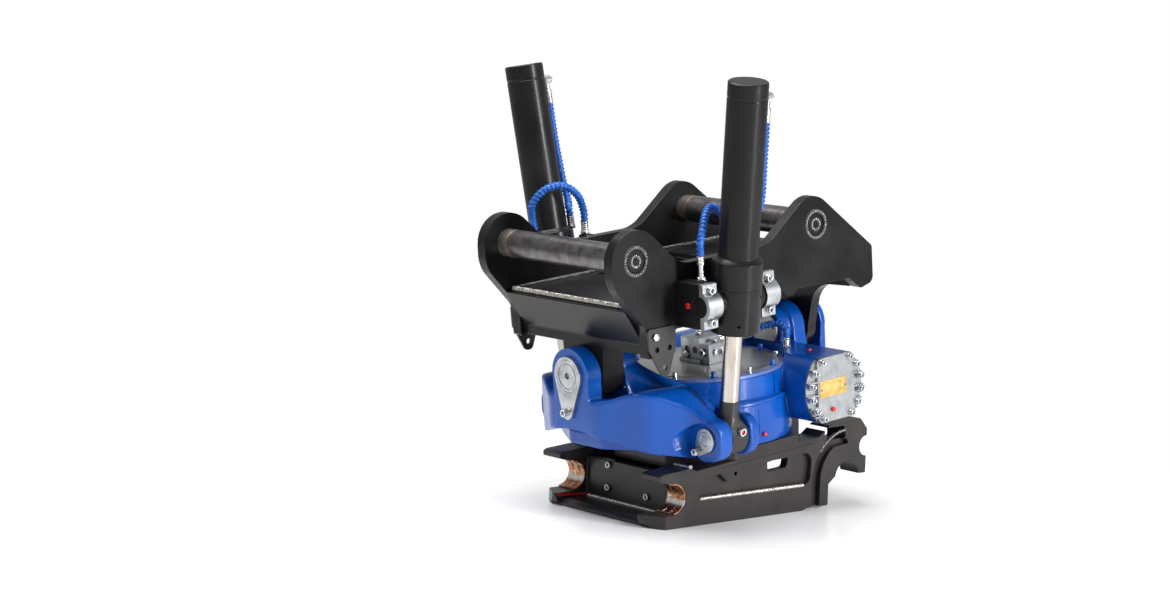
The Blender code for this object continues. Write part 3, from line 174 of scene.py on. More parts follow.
def slab(name, corners, low, high, axis, place=ROTOR, steps=7):
    """A plate of an outline (u, v, radius), its corners rounded, thick from low to high along an axis."""
    bm = bmesh.new()
    spots = [Vector((u, v, (low - high) / 2)) for u, v, _ in corners]
    verts = [bm.verts.new(spot) for spot in spots]
    bm.faces.new(verts)
    for index, (_, _, radius) in enumerate(corners):
        if radius:
            before = spots[index - 1] - spots[index]
            after = spots[(index + 1) % len(spots)] - spots[index]
            reach = radius / math.tan(before.angle(after) / 2)
            bmesh.ops.bevel(bm, geom=[verts[index]], offset=reach, segments=steps, profile=0.5,
                            affect="VERTICES", material=-1)
    bmesh.ops.remove_doubles(bm, verts=bm.verts, dist=0.00001)
    grown = bmesh.ops.extrude_face_region(bm, geom=bm.faces[:])["geom"]
    bmesh.ops.translate(bm, vec=(0, 0, high - low),
                        verts=[v for v in grown if isinstance(v, bmesh.types.BMVert)])
    centre = Vector((0, 0, 0))
    centre["XYZ".index(axis)] = (low + high) / 2
    return piece_from(bm, name, place @ Matrix.Translation(centre) @ LAY[axis])


def rod(name, radius, start, end, centre, axis, place=ROTOR, sides=48, tip=None):
    """A round bar from start to end along an axis, about the other two coordinates of centre."""
    bm = bmesh.new()
    bmesh.ops.create_cone(bm, cap_ends=True, segments=sides, radius1=radius,
                          radius2=radius if tip is None else tip, depth=end - start)
    middle = Vector(centre)
    middle["XYZ".index(axis)] = (start + end) / 2
    return piece_from(bm, name, place @ Matrix.Translation(middle) @ AIM[axis])


def settle(piece):
    """The piece's modifiers, applied to its mesh."""
    graph = bpy.context.evaluated_depsgraph_get()
    mesh = bpy.data.meshes.new_from_object(piece.evaluated_get(graph))
    piece.modifiers.clear()
    piece.data = mesh
    return piece


def join(piece, tools, operation):
    """Cuts the tools from the piece, or joins them to it, and takes them away."""
    for tool in tools:
        step = piece.modifiers.new(tool.name, "BOOLEAN")
        step.operation = operation
        step.object = tool
    settle(piece)
    for tool in tools:
        bpy.data.objects.remove(tool)
    return piece


def cut(piece, *tools):
    return join(piece, tools, "DIFFERENCE")


def fuse(piece, *tools):
    return join(piece, tools, "UNION")


def ease(piece, width, segments=2, angle=34):
    """Rounds the piece's sharp edges and shades it so that flat faces stay flat."""
    bevel = piece.modifiers.new("eased_edges", "BEVEL")
    bevel.width = width
    bevel.segments = segments
    bevel.limit_method = "ANGLE"
    bevel.angle_limit = math.radians(angle)
    bevel.use_clamp_overlap = True
    settle(piece)
    piece.data.shade_smooth()
    piece.data.set_sharp_from_angle(angle=math.radians(55))
    piece.modifiers.new("flat_faces", "WEIGHTED_NORMAL").keep_sharp = True
    return piece


def seat(piece, finish, body, *stands_for):
    """Gives a piece its finish and the body that it moves with, in place of the nodes that it stands for."""
    piece.data.materials.clear()
    piece.data.materials.append(finish)
    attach(piece, body)
    if stands_for:
        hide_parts(*stands_for)
    return piece


def ramp(tree, factor, stops):
    """The colour at a factor, from stops of a place and a colour, or of a place and a grey value."""
    made = node(tree, "ShaderNodeValToRGB", {"Fac": factor})
    colours = [(spot, (tone, tone, tone, 1.0) if isinstance(tone, float) else rgb(tone)) for spot,
               tone in stops]
    first, *middle, last = colours
    made.color_ramp.elements[0].position, made.color_ramp.elements[0].color = first
    made.color_ramp.elements[1].position, made.color_ramp.elements[1].color = last
    for spot, colour in middle:
        made.color_ramp.elements.new(spot).color = colour
    return made.outputs["Color"]


def surface(name, **sockets):
    """A new material: its node tree, its shader and the place on the machine in metres."""
    material = bpy.data.materials.new(name)
    material.use_nodes = True
    shader = material.node_tree.nodes["Principled BSDF"]
    for key, value in sockets.items():
        shader.inputs[key.replace("_", " ")].default_value = value
    return material, material.node_tree, shader, node(material.node_tree,
                                                      "ShaderNodeTexCoord").outputs["Object"]


def noise(tree, place, grain_mm, detail=3.0, roughness=0.5):
    return node(tree, "ShaderNodeTexNoise", {"Vector": place, "Scale": 1000 / grain_mm, "Detail": detail,
                                             "Roughness": roughness}).outputs["Fac"]


def relief(tree, shader, height, depth_mm, strength=1.0):
    bump = node(tree, "ShaderNodeBump", {"Height": height, "Distance": depth_mm / 1000,
                                         "Strength": strength})
    tree.links.new(bump.outputs["Normal"], shader.inputs["Normal"])


def plate_paint(name, shades, gloss):
    """Two-pack paint on blasted plate: half gloss, faint orange peel, dust and rub marks."""
    material, tree, shader, place = surface(name, Specular_IOR_Level=gloss, Coat_Weight=0.08,
                                            Coat_Roughness=0.12)
    broad = noise(tree, place, 110, 4.0, 0.6)
    fine = noise(tree, place, 2.2, 2.0)
    specks = noise(tree, place, 5.0, 4.0, 0.7)
    base = ramp(tree, broad, list(zip((0.30, 0.52, 0.72), shades)))
    dusty = ramp(tree, specks, [(0.66, 0.0), (0.78, 0.3)])
    tone = node(tree, "ShaderNodeMix", {0: dusty, "A": base, "B": rgb("58534F")},
                data_type="RGBA").outputs[2]
    tree.links.new(tone, shader.inputs["Base Color"])
    tree.links.new(ramp(tree, broad, [(0.28, 0.27), (0.74, 0.40)]), shader.inputs["Roughness"])
    relief(tree, shader, fine, 0.035)
    return material


charcoal = plate_paint("charcoal_paint", ("100F11", "161517", "1E1C1E"), 0.16)

EYE = 0.074
plate_edge = [
    (-EYE, EYE, EYE), (0.036, EYE, EYE), (0.140, -0.028, 0.070), (0.432, -0.028, 0.090),
              (0.567, 0.072, 0.070),
    (0.6145, 0.072, 0.065), (0.798, -0.084, 0.012), (0.798, -0.177, 0.020), (0.752, -0.188, 0.012),
    (0.712, -0.155, 0.012), (0.527, -0.152, 0.010), (0.514, -0.165, 0.006), (0.494, -0.165, 0.006),
    (0.474, -0.148, 0.010), (0.372, -0.148, 0), (0.362, -0.183, 0.010), (0.308, -0.183, 0.005),
    (0.302, -0.140, 0.020), (0.174, -0.140, 0.020), (0.168, -0.183, 0.005), (0.116, -0.183, 0.006),
    (0.112, -0.242, 0.010), (0.023, -0.242, 0.006), (0.023, -0.168, 0.050), (-EYE, -0.053, EYE)]
plate_edge = [(u + FRONT_PIN_Y, v + PIN_Z, radius) for u, v, radius in plate_edge]
pin_places = (FRONT_PIN_Y, FRONT_PIN_Y + PIN_SPACING)
SPLIT = TRUNNION_X - 0.0003
FEED_INNER, FEED_BRACKET_TOP = (0.272, -0.142), 0.281
base_low, base_high = TRUNNION_Z - BEARING_HALF_Z, TRUNNION_Z + BEARING_HALF_Z
for side, sign in SIDES.items():
    faces = sorted((sign * PLATE_INSIDE, sign * (PLATE_INSIDE + PLATE_T)))
    plate = slab(f"side_plate_{side}", plate_edge, *faces, "X")
    for y in pin_places:
        seat_face = sorted((sign * (PLATE_INSIDE - 0.01), sign * (PLATE_INSIDE + 0.002)))
        cut(plate, rod("pin_seat", PIN_R + 0.0003, *seat_face, (0, y, PIN_Z), "X"),
            rod("pin_bore", 0.0283, faces[0] - 0.01, faces[1] + 0.01, (0, y, PIN_Z), "X"))
    ease(plate, 0.0022, 3)
    root = PLATE_INSIDE + PLATE_T - 0.002
    block_edge = [(root, base_low, 0), (root, base_high, 0), (SPLIT, base_high, 0.003),
                  (SPLIT, base_low, 0.003)]
    block_edge = [(sign * u, v, radius) for u, v, radius in block_edge]
    blocks = []
    for y in (RAM_Y - BEARING_OFFSET, RAM_Y + BEARING_OFFSET):
        base = slab("trunnion_base", block_edge, y - BEARING_T / 2, y + BEARING_T / 2, "Y")
        blocks.append(cut(base, rod("trunnion_half_bore", TRUNNION_R + 0.0006, y - 0.05, y + 0.05,
                                    (sign * TRUNNION_X, 0, TRUNNION_Z), "Y")))
    x, y = FEED_INNER
    bracket = sorted((sign * root, sign * (x + 0.010)))
    blocks.append(slab("feed_bracket", [(bracket[0], FEED_BRACKET_TOP - 0.026, 0.004),
                                        (bracket[1], FEED_BRACKET_TOP - 0.026, 0.004),
                                        (bracket[1], FEED_BRACKET_TOP, 0.004),
                                        (bracket[0], FEED_BRACKET_TOP, 0.004)],
                       y - 0.014, y + 0.014, "Y"))
    for count, block in enumerate(blocks):
        block.name = f"trunnion_base_{side}_{count}"
        seat(ease(block, 0.0016), charcoal, "hitch")
    seat(plate, charcoal, "hitch", f"hitch_plate_{side}")

# Hitch pins: 70 mm bars turned down at the ends, pushed into the plates and welded round on the outside.
# Their middle is dark from use, and the ends stay bright behind a brown edge of rust. The paint covers
# the weld.


def turned(name, profile, centre=(0, 0, 0), axis="Z", place=ROTOR, steps=64, closed=False):
    """A turned piece: the profile (radius, height) spun about an axis through centre."""
    bm = bmesh.new()
    points = [bm.verts.new((radius, 0, height)) for radius, height in profile]
    pairs = list(zip(points, points[1:])) + ([(points[-1], points[0])] if closed else [])
    edges = [bm.edges.new(pair) for pair in pairs]
    bmesh.ops.spin(bm, geom=points + edges, cent=(0, 0, 0), axis=(0, 0, 1), angle=2 * math.pi, steps=steps,
                   use_merge=True)
    return piece_from(bm, name, place @ Matrix.Translation(centre) @ AIM[axis])


def drawn(name, route, radius, place=ROTOR, sides=10):
    """A round section drawn along a route, its radius a number or a function of the distance run."""
    bm = bmesh.new()
    route = [Vector(spot) for spot in route]
    aims = [(ahead - behind).normalized() for behind, ahead in zip(route[:1] + route, route[1:]
                                                                   + route[-1:])]
    ring = bmesh.ops.create_circle(bm, segments=sides, radius=1.0)["verts"]
    edges = list({edge for vert in ring for edge in vert.link_edges})
    turn = aims[0].to_track_quat("Z", "Y").to_matrix().to_4x4()
    run = 0.0
    size = radius if callable(radius) else lambda distance: radius
    standing = Matrix.Translation(route[0]) @ turn @ Matrix.Scale(size(run), 4)
    bmesh.ops.transform(bm, matrix=standing, verts=ring)
    for index in range(1, len(route)):
        turn = aims[index - 1].rotation_difference(aims[index]).to_matrix().to_4x4() @ turn
        run += (route[index] - route[index - 1]).length
        following = Matrix.Translation(route[index]) @ turn @ Matrix.Scale(size(run), 4)
        grown = bmesh.ops.extrude_edge_only(bm, edges=edges)["geom"]
        ring = [item for item in grown if isinstance(item, bmesh.types.BMVert)]
        edges = [item for item in grown if isinstance(item, bmesh.types.BMEdge)
                 and set(item.verts) <= set(ring)]
        bmesh.ops.transform(bm, matrix=following @ standing.inverted(), verts=ring)
        standing = following
    bmesh.ops.holes_fill(bm, edges=bm.edges[:], sides=0)
    piece = piece_from(bm, name, place)
    piece.data.shade_smooth()
    piece.data.set_sharp_from_angle(angle=math.radians(60))
    return piece


def dense(corners, step=0.0012):
    """Points every step along the straight runs of a route."""
    spots = [Vector(corner) for corner in corners]
    route = []
    for first, second in zip(spots, spots[1:]):
        count = max(1, round((second - first).length / step))
        route += [first.lerp(second, k / count) for k in range(count)]
    return route + [spots[-1]]


def weld(name, corners, size, body, finish, place=ROTOR, drop=0.0062):
    """A weld run: a bead along a route, rippled where each droplet froze."""
    def ripple(run):
        return size * (0.80 + 0.34 * abs(math.sin(math.pi * run / drop)))
    return seat(drawn(name, dense(corners), ripple, place, 8), finish, body)


def around(radius, centre, axis, first=0, last=360, count=48):
    """Points of an arc about an axis through centre."""
    angles = [math.radians(first + (last - first) * k / count) for k in range(count + 1)]
    spin = Matrix.Translation(centre) @ AIM[axis]
    return [spin @ Vector((radius * math.cos(a), radius * math.sin(a), 0)) for a in angles]


def wet_bead():
    """Charcoal paint lying wet over weld beads, so every ripple catches a small highlight."""
    material, tree, shader, place = surface("painted_bead", Specular_IOR_Level=0.8, Coat_Weight=0.8,
                                            Coat_Roughness=0.05)
    patch = noise(tree, place, 8, 3.0)
    tree.links.new(ramp(tree, patch, [(0.3, "242122"), (0.7, "3B3838")]), shader.inputs["Base Color"])
    tree.links.new(ramp(tree, patch, [(0.3, 0.16), (0.7, 0.28)]), shader.inputs["Roughness"])
    relief(tree, shader, noise(tree, place, 3.0, 2.0), 0.10)
    return material


def worn_pin():
    """Dark turned steel with bright ends: it tells that this bar carries the machine and was once bare."""
    material, tree, shader, place = surface("worn_pin_steel", Metallic=0.9, Specular_IOR_Level=0.5)
    across = node(tree, "ShaderNodeSeparateXYZ", {"Vector": place}).outputs["X"]
    across = node(tree, "ShaderNodeMath", {0: across}, operation="ABSOLUTE").outputs[0]
    ragged = node(tree, "ShaderNodeMath", {0: noise(tree, place, 14, 4.0, 0.7), 1: 0.012, 2: -0.006},
                  operation="MULTIPLY_ADD").outputs[0]
    across = node(tree, "ShaderNodeMath", {0: across, 1: ragged}, operation="ADD").outputs[0]
    band = node(tree, "ShaderNodeMapRange", {"Value": across, "From Min": 0.17,
                                             "From Max": 0.21}).outputs[0]
    tone = ramp(tree, band, [(0.0, "6B696A"), (0.34, "7A7876"), (0.44, "84644C"), (0.52, "A4917C"),
                             (0.60, "D0CAC2")])
    blotch = ramp(tree, noise(tree, place, 26, 5.0, 0.65), [(0.35, "B9B3AC"), (0.62, "FFFFFF")])
    tone = node(tree, "ShaderNodeMix", {0: 1.0, "A": tone, "B": blotch}, data_type="RGBA",
                blend_type="MULTIPLY")
    tree.links.new(tone.outputs[2], shader.inputs["Base Color"])
    tree.links.new(ramp(tree, band, [(0.2, 0.30), (0.5, 0.42), (0.62, 0.22)]), shader.inputs["Roughness"])
    lathe = node(tree, "ShaderNodeTexWave", {"Vector": place, "Scale": 210.0, "Distortion": 0.6},
                 bands_direction="X")
    relief(tree, shader, lathe.outputs["Fac"], 0.006)
    return material


pin_steel = worn_pin()
painted_bead = wet_bead()
seat_end = PLATE_INSIDE + 0.0017
pin_half = [(0, 0.2535), (0.0262, 0.2535), (0.028, 0.2517), (0.028, seat_end), (0.0335, seat_end),
            (PIN_R, seat_end - 0.0015), (PIN_R, 0.1895), (0.0346, 0.1888), (0.0346, 0.1872),
            (PIN_R, 0.1865)]
pin_profile = pin_half + [(radius, -height) for radius, height in reversed(pin_half)]
for name, y in (("front_pin", pin_places[0]), ("rear_pin", pin_places[1])):
    piece = turned(name + "_bar", pin_profile, (0, y, PIN_Z), "X")
    seat(ease(piece, 0.0003, 1), pin_steel, "hitch", name)
    for side, sign in SIDES.items():
        x = sign * (PLATE_INSIDE + PLATE_T)
        cap = turned(f"{name}_end_{side}", [(0, x), (0.0265, x), (0.0265, x - sign * 0.0023),
                                            (0, x - sign * 0.0023)],
                     (0, y, PIN_Z), "X")
        seat(ease(cap, 0.0006), charcoal, "hitch")
        weld(f"{name}_weld_{side}", around(0.0335, (x - sign * 0.0006, y, PIN_Z), "X"), 0.0052, "hitch",
             painted_bead)
        weld(f"{name}_plug_weld_{side}", around(0.0135, (x - sign * 0.0012, y, PIN_Z), "X"), 0.0048,
             "hitch", painted_bead)

# Front box of the hitch: a bent front plate, the thick lug that hangs in the front clevis, and the deck
# plate. All are flame cut, welded along the side plates with a bright, rippled bead, and sprayed before
# that.


def weld_metal():
    """Bare weld metal: bright where each droplet froze, with a straw and blue tint of heat in patches."""
    material, tree, shader, place = surface("weld_metal", Metallic=0.9)
    tint = noise(tree, place, 9, 3.0, 0.6)
    tree.links.new(ramp(tree, tint, [(0.32, "8D8B8A"), (0.5, "C9C7C4"), (0.62, "CEC3AE"),
                                     (0.74, "9FA6B2")]),
                   shader.inputs["Base Color"])
    tree.links.new(ramp(tree, tint, [(0.3, 0.22), (0.7, 0.38)]), shader.inputs["Roughness"])
    relief(tree, shader, noise(tree, place, 3.5, 2.0), 0.10)
    return material


bead_metal = weld_metal()
TILT_PIN_R, BUSH_BORE_R, BUSH_R, LUG_R = 0.030, 0.0308, 0.037, 0.066
FRONT_LUG, REAR_LUG = (-0.396, -0.329), (0.316, 0.346)
DECK_TOP_Z, DECK_PLATE_T = 0.190, 0.012
inside = PLATE_INSIDE - 0.0003
bend = [(-0.449, 0.186, 0.002), (-0.396, 0.095, 0.012), (-0.396, 0.070, 0.002), (-0.373, 0.070, 0.002),
        (-0.373, 0.100, 0.012), (-0.424, 0.186, 0.002)]
front_plate = slab("front_bent_plate", bend, -inside, inside, "X")
lug = [(-LUG_R, -LUG_R, LUG_R), (LUG_R, -LUG_R, LUG_R), (0.078, 0.110, 0.060), (0.050, 0.150, 0.004),
       (-0.050, 0.150, 0.004), (-0.078, 0.110, 0.060)]
low, high = FRONT_LUG
front_lug = slab("front_lug", lug, low + 0.0002, high, "Y", steps=12)
front_deck = slab("front_deck", [(-inside, -0.430, 0), (inside, -0.430, 0), (inside, -0.010, 0),
                                 (-inside, -0.010, 0)],
                  DECK_TOP_Z - DECK_PLATE_T, DECK_TOP_Z, "Z")
holes = [rod("deck_hole", radius, 0.15, 0.22, (x, y, 0), "Z")
         for x, y, radius in ((-0.036, -0.262, 0.014), (0.185, -0.16, 0.016), (-0.185, -0.16, 0.016))]
front_box = fuse(front_plate, front_lug, front_deck)
cut(front_box, *holes, rod("lug_bore", BUSH_R + 0.0003, low - 0.05, high + 0.05, (0, 0, 0), "Y"))
front_box.name = "front_box_weldment"
seat(ease(front_box, 0.0016), charcoal, "hitch", "hitch_front_box")
edge_z = DECK_TOP_Z + 0.0012
weld("front_edge_weld", [(-0.222, -0.426, edge_z - 0.001), (0.222, -0.426, edge_z - 0.001)], 0.0070,
     "hitch", bead_metal)
for side, sign in SIDES.items():
    x = sign * (PLATE_INSIDE - 0.0028)
    weld(f"deck_edge_weld_{side}", [(x, -0.424, edge_z), (x, -0.014, edge_z)], 0.0058, "hitch",
         painted_bead)
    weld(f"lug_weld_{side}", [(sign * 0.0790, -0.3275, 0.102), (sign * 0.0520, -0.3275, 0.146)], 0.0040,
         "hitch", bead_metal)

# Rear box of the hitch: the rear plate, whose middle hangs down as the rear lug, and the raised rear deck
# with the swept notch for the quick hitch. It is welded up the same way.

half = [(inside, 0.207, 0), (inside, 0.122, 0.010), (0.092, 0.116, 0.070), (0.062, 0.0, 0.020),
        (0.062, -0.062, 0.062)]
rear_plate = slab("rear_plate", half + [(-u, v, r) for u, v, r in reversed(half)], *REAR_LUG, "Y", steps=12)
edge = REAR_LUG[1] - 0.006
swept = [(-inside, 0.060, 0), (-0.09, 0.060, 0.03), (-0.05, 0.10, 0.02), (0.05, 0.10, 0.02),
         (0.09, 0.060, 0.03), (inside, 0.060, 0), (inside, edge, 0), (-inside, edge, 0)]
rear_box = fuse(rear_plate, slab("rear_deck", swept, 0.200, 0.212, "Z"))
cut(rear_box, rod("lug_bore", BUSH_R + 0.0003, REAR_LUG[0] - 0.05, REAR_LUG[1] + 0.05, (0, 0, 0), "Y"))
rear_box.name = "rear_box_weldment"
seat(ease(rear_box, 0.0016), charcoal, "hitch", "hitch_rear_box")
for side, sign in SIDES.items():
    x = sign * (PLATE_INSIDE - 0.0028)
    weld(f"rear_deck_weld_{side}", [(x, 0.064, 0.2128), (x, 0.336, 0.2128)], 0.0058, "hitch", painted_bead)

# Lug bushes: bronze, pressed into both lugs, with a bright flange on the rear one where the ear rubs on it.


def bronze_metal():
    """Cast bronze with darker oiled patches, as bushes and jaw liners are."""
    material, tree, shader, place = surface("oiled_bronze", Metallic=1.0)
    patch = noise(tree, place, 22, 4.0, 0.6)
    tree.links.new(ramp(tree, patch, [(0.32, "5E3A22"), (0.52, "8C5C36"), (0.70, "A87445")]),
                   shader.inputs["Base Color"])
    tree.links.new(ramp(tree, patch, [(0.3, 0.5), (0.7, 0.32)]), shader.inputs["Roughness"])
    relief(tree, shader, noise(tree, place, 1.6, 3.0), 0.05)
    return material


bronze = bronze_metal()
low, high = FRONT_LUG
front_bush = turned("front_lug_bushing", [(BUSH_R, high), (BUSH_R, low), (BUSH_BORE_R, low),
                                          (BUSH_BORE_R, high)],
                    axis="Y", closed=True)
seat(ease(front_bush, 0.0008), bronze, "hitch", "front_lug_bush")
low, high = REAR_LUG
flanged = [(BUSH_R, high), (BUSH_R, low - 0.0003), (0.044, low - 0.0003), (0.044, low - 0.004),
           (BUSH_BORE_R, low - 0.004), (BUSH_BORE_R, high)]
rear_bush = turned("rear_lug_bushing", flanged, axis="Y", closed=True)
seat(ease(rear_bush, 0.0006), bronze, "hitch", "rear_lug_bush")

# Trunnion bearing caps: cast aluminium halves that clamp the ram's stubs, each held by two socket bolts.


def cast_aluminium():
    """Sand-cast aluminium, skimmed by a mill: pale, with a fine grain and dull patches."""
    material, tree, shader, place = surface("cast_aluminium", Metallic=1.0)
    patch = noise(tree, place, 35, 4.0, 0.6)
    tree.links.new(ramp(tree, patch, [(0.3, "8F9294"), (0.5, "ABAEB0"), (0.7, "BEC0C1")]),
                   shader.inputs["Base Color"])
    tree.links.new(ramp(tree, patch, [(0.3, 0.42), (0.7, 0.30)]), shader.inputs["Roughness"])
    relief(tree, shader, noise(tree, place, 4.5, 3.0, 0.6), 0.05)
    return material


def zinc_plating():
    """Bright zinc on bolts and fittings, with a faint bluish bloom."""
    material, tree, shader, place = surface("zinc_plating", Metallic=1.0)
    patch = noise(tree, place, 6, 3.0, 0.6)
    tree.links.new(ramp(tree, patch, [(0.3, "B4B7BB"), (0.6, "D2D3D4"), (0.75, "C6BFB0")]),
                   shader.inputs["Base Color"])
    tree.links.new(ramp(tree, patch, [(0.3, 0.20), (0.7, 0.34)]), shader.inputs["Roughness"])
    relief(tree, shader, noise(tree, place, 5.0, 2.0), 0.010)
    return material


def black_paint():
    """Satin black on small brackets and forgings, a little dusty."""
    material, tree, shader, place = surface("black_paint", Specular_IOR_Level=0.45, Coat_Weight=0.08)
    broad = noise(tree, place, 60, 4.0, 0.6)
    tree.links.new(ramp(tree, broad, [(0.3, "111112"), (0.7, "1E1D1E")]), shader.inputs["Base Color"])
    tree.links.new(ramp(tree, broad, [(0.3, 0.32), (0.7, 0.48)]), shader.inputs["Roughness"])
    relief(tree, shader, noise(tree, place, 1.8, 3.0), 0.03)
    return material


black = black_paint()
cast = cast_aluminium()
zinc = zinc_plating()


def fan(u, v, radius, first, last, count):
    """Sharp corners along an arc, its angles in degrees."""
    angles = [math.radians(first + (last - first) * k / count) for k in range(count + 1)]
    return [(u + radius * math.cos(a), v + radius * math.sin(a), 0) for a in angles]


def socket_screw(radius, height):
    """A cap screw's head, standing on the ground plane, with its hexagon socket."""
    head = turned("screw", [(0, height), (radius - 0.0008, height), (radius, height - 0.0008), (radius, 0),
                            (0, 0)],
                  place=LEVEL, steps=24)
    cut(head, rod("socket", radius * 0.66, height * 0.30, height + 0.01, (0, 0, 0), "Z", LEVEL, 6))
    return ease(head, 0.0004, 1)


def hexagon(across, height):
    """A hexagon head or nut, standing on the ground plane, with its corners turned off."""
    radius = across / math.sqrt(3)
    head = rod("hexagon", radius, 0, height, (0, 0, 0), "Z", LEVEL, 6)
    crown = [(0, height), (across * 0.47, height), (radius + 0.001, height - radius * 0.22),
             (radius + 0.001, 0), (0, 0)]
    head = join(head, [turned("crown", crown, place=LEVEL, steps=24)], "INTERSECT")
    return ease(head, 0.0004, 1)


def stand(x, y, z, axis="Z", place=ROTOR, spin=0.0):
    """The matrix that stands a small piece's own Z along an axis at a point; a minus sign turns it over."""
    flip = Matrix.Rotation(math.pi, 4, "X") if axis[0] == "-" else Matrix()
    return place @ Matrix.Translation((x, y, z)) @ AIM[axis[-1]] @ flip @ Matrix.Rotation(spin, 4, "Z")


def copies(name, pattern, places, finish, body, *stands_for):
    """One piece made of a small pattern repeated at many places. The pattern itself is taken away."""
    bm = bmesh.new()
    for place in places:
        bm.from_mesh(pattern.data)
        bmesh.ops.transform(bm, matrix=place, verts=bm.verts[-len(pattern.data.vertices):])
    mesh = bpy.data.meshes.new(name)
    bm.to_mesh(mesh)
    bm.free()
    bpy.data.objects.remove(pattern)
    mesh.set_sharp_from_angle(angle=math.radians(55))
    piece = bpy.data.objects.new(name, mesh)
    bpy.context.scene.collection.objects.link(piece)
    return seat(piece, finish, body, *stands_for)


def hollow_screws(name, radius, height, places, body):
    """Socket screws in a pattern, with a black disc at the bottom of each socket as painted shade."""
    copies(name, socket_screw(radius, height), places, zinc, body)
    level = height * 0.30
    # Painted shade: a black disc at the bottom of each socket stands for the dark inside the hollow.
    shade = turned("socket_shade_disc", [(0, level + 0.0008), (radius * 0.58, level + 0.0008),
                                    (radius * 0.58, level - 0.0004),
                                    (0, level - 0.0004)], place=LEVEL, steps=16)
    copies(name + "_socket_shade", shade, places, black, body)


split = TRUNNION_X + 0.0003
cap_seat = split + 0.0135
cap_edge = [(split, base_high, 0.002), (cap_seat, base_high, 0.003), (cap_seat, TRUNNION_Z + 0.032, 0.006)]
cap_edge += fan(split, TRUNNION_Z, 0.036, 60, -60, 20)
cap_edge += [(cap_seat, TRUNNION_Z - 0.032, 0.006), (cap_seat, base_low, 0.003), (split, base_low, 0.002)]
for side, sign in SIDES.items():
    for place, y in (("front", RAM_Y - BEARING_OFFSET), ("rear", RAM_Y + BEARING_OFFSET)):
        shape = [(sign * u, v, radius) for u, v, radius in cap_edge]
        cap = slab(f"bearing_cap_{place}_{side}", shape, y - BEARING_T / 2, y + BEARING_T / 2, "Y")
        cut(cap, rod("half_bore", TRUNNION_R + 0.0006, y - 0.05, y + 0.05,
                     (sign * TRUNNION_X, 0, TRUNNION_Z), "Y"))
        seat(ease(cap, 0.0014), cast, "hitch", f"trunnion_cap_{place}_{side}")
        spots = [stand(sign * (cap_seat - 0.0005), y, TRUNNION_Z + z, "X" if sign > 0 else "-X")
                 for z in (-0.0395, 0.0395)]
        hollow_screws(f"cap_screws_{place}_{side}", 0.0093, 0.0128, spots, "hitch")

# Corner brackets: thin drilled plates bolted under the front corners of the side plates to guide hoses.

bracket_edge = [(0.022, -0.170, 0.006), (0.108, -0.170, 0.010), (0.108, -0.222, 0.012),
                (0.082, -0.290, 0.012), (0.060, -0.290, 0.012), (0.024, -0.222, 0.012)]
bracket_edge = [(u + FRONT_PIN_Y, v + PIN_Z, radius) for u, v, radius in bracket_edge]
bracket_root = PLATE_INSIDE + PLATE_T + 0.0003
for side, sign in SIDES.items():
    faces = sorted((sign * bracket_root, sign * (bracket_root + 0.006)))
    bracket = slab(f"hose_bracket_{side}", bracket_edge, *faces, "X")
    cut(bracket, *[rod("drilling", 0.007, faces[0] - 0.01, faces[1] + 0.01,
                       (0, FRONT_PIN_Y + y, PIN_Z + z), "X", sides=32)
                   for y, z in ((0.048, -0.222), (0.088, -0.222), (0.071, -0.268))])
    seat(ease(bracket, 0.0008), black, "hitch", f"corner_bracket_{side}")
    spot = stand(sign * (bracket_root + 0.006), FRONT_PIN_Y + 0.044, PIN_Z - 0.190, "X" if sign > 0
                 else "-X")
    copies(f"bracket_nut_{side}", hexagon(0.017, 0.007), [spot], zinc, "hitch")

# Tilt rams: a drawn tube with a screwed head, over a forged trunnion collar that is split for assembly,
# and a hard chromed rod. The tube is sprayed satin charcoal, and the rod shows a soft, ground sheen.

CLEVIS_X, CLEVIS_Z, CLEVIS_PIN_R = 0.288, -0.156, 0.0175
BARREL_R, BARREL_BORE_R, BARREL_TOP, COLLAR_R, ROD_R = 0.049, 0.040, 0.5367, 0.0625, 0.0225
COLLAR_TOP, COLLAR_SPLIT, COLLAR_BOTTOM = 0.104, 0.036, -0.076
EYE_R, EYE_BORE_R, EYE_T, ROD_SHOULDER, PISTON_LEVEL = 0.0485, 0.036, 0.052, 0.090, 0.200
ELBOW = (0.036, 0.0475, 0.134)
ram_lean = math.atan2(TRUNNION_X - CLEVIS_X, TRUNNION_Z - CLEVIS_Z)
ram_length = math.hypot(TRUNNION_X - CLEVIS_X, TRUNNION_Z - CLEVIS_Z)
RAM = {side: ROTOR @ Matrix.Translation((sign * TRUNNION_X, RAM_Y, TRUNNION_Z))
       @ Matrix.Rotation(sign * ram_lean, 4, "Y") for side, sign in SIDES.items()}


def chrome_rod():
    """Ground hard chrome: warm, satin, with the finest rings round it and a darker oil film in bands."""
    material, tree, shader, place = surface("ground_chrome", Metallic=1.0)
    streak = node(tree, "ShaderNodeMapping", {"Vector": place, "Scale": (60.0, 60.0, 4.0)}).outputs[0]
    film = node(tree, "ShaderNodeTexNoise", {"Vector": streak, "Scale": 1.0, "Detail": 3.0}).outputs["Fac"]
    tree.links.new(ramp(tree, film, [(0.3, "A49C94"), (0.7, "C2BAB2")]), shader.inputs["Base Color"])
    tree.links.new(ramp(tree, film, [(0.3, 0.20), (0.7, 0.28)]), shader.inputs["Roughness"])
    rings = node(tree, "ShaderNodeTexWave", {"Vector": place, "Scale": 900.0, "Distortion": 1.5},
                 bands_direction="Z")
    relief(tree, shader, rings.outputs["Fac"], 0.0012)
    return material


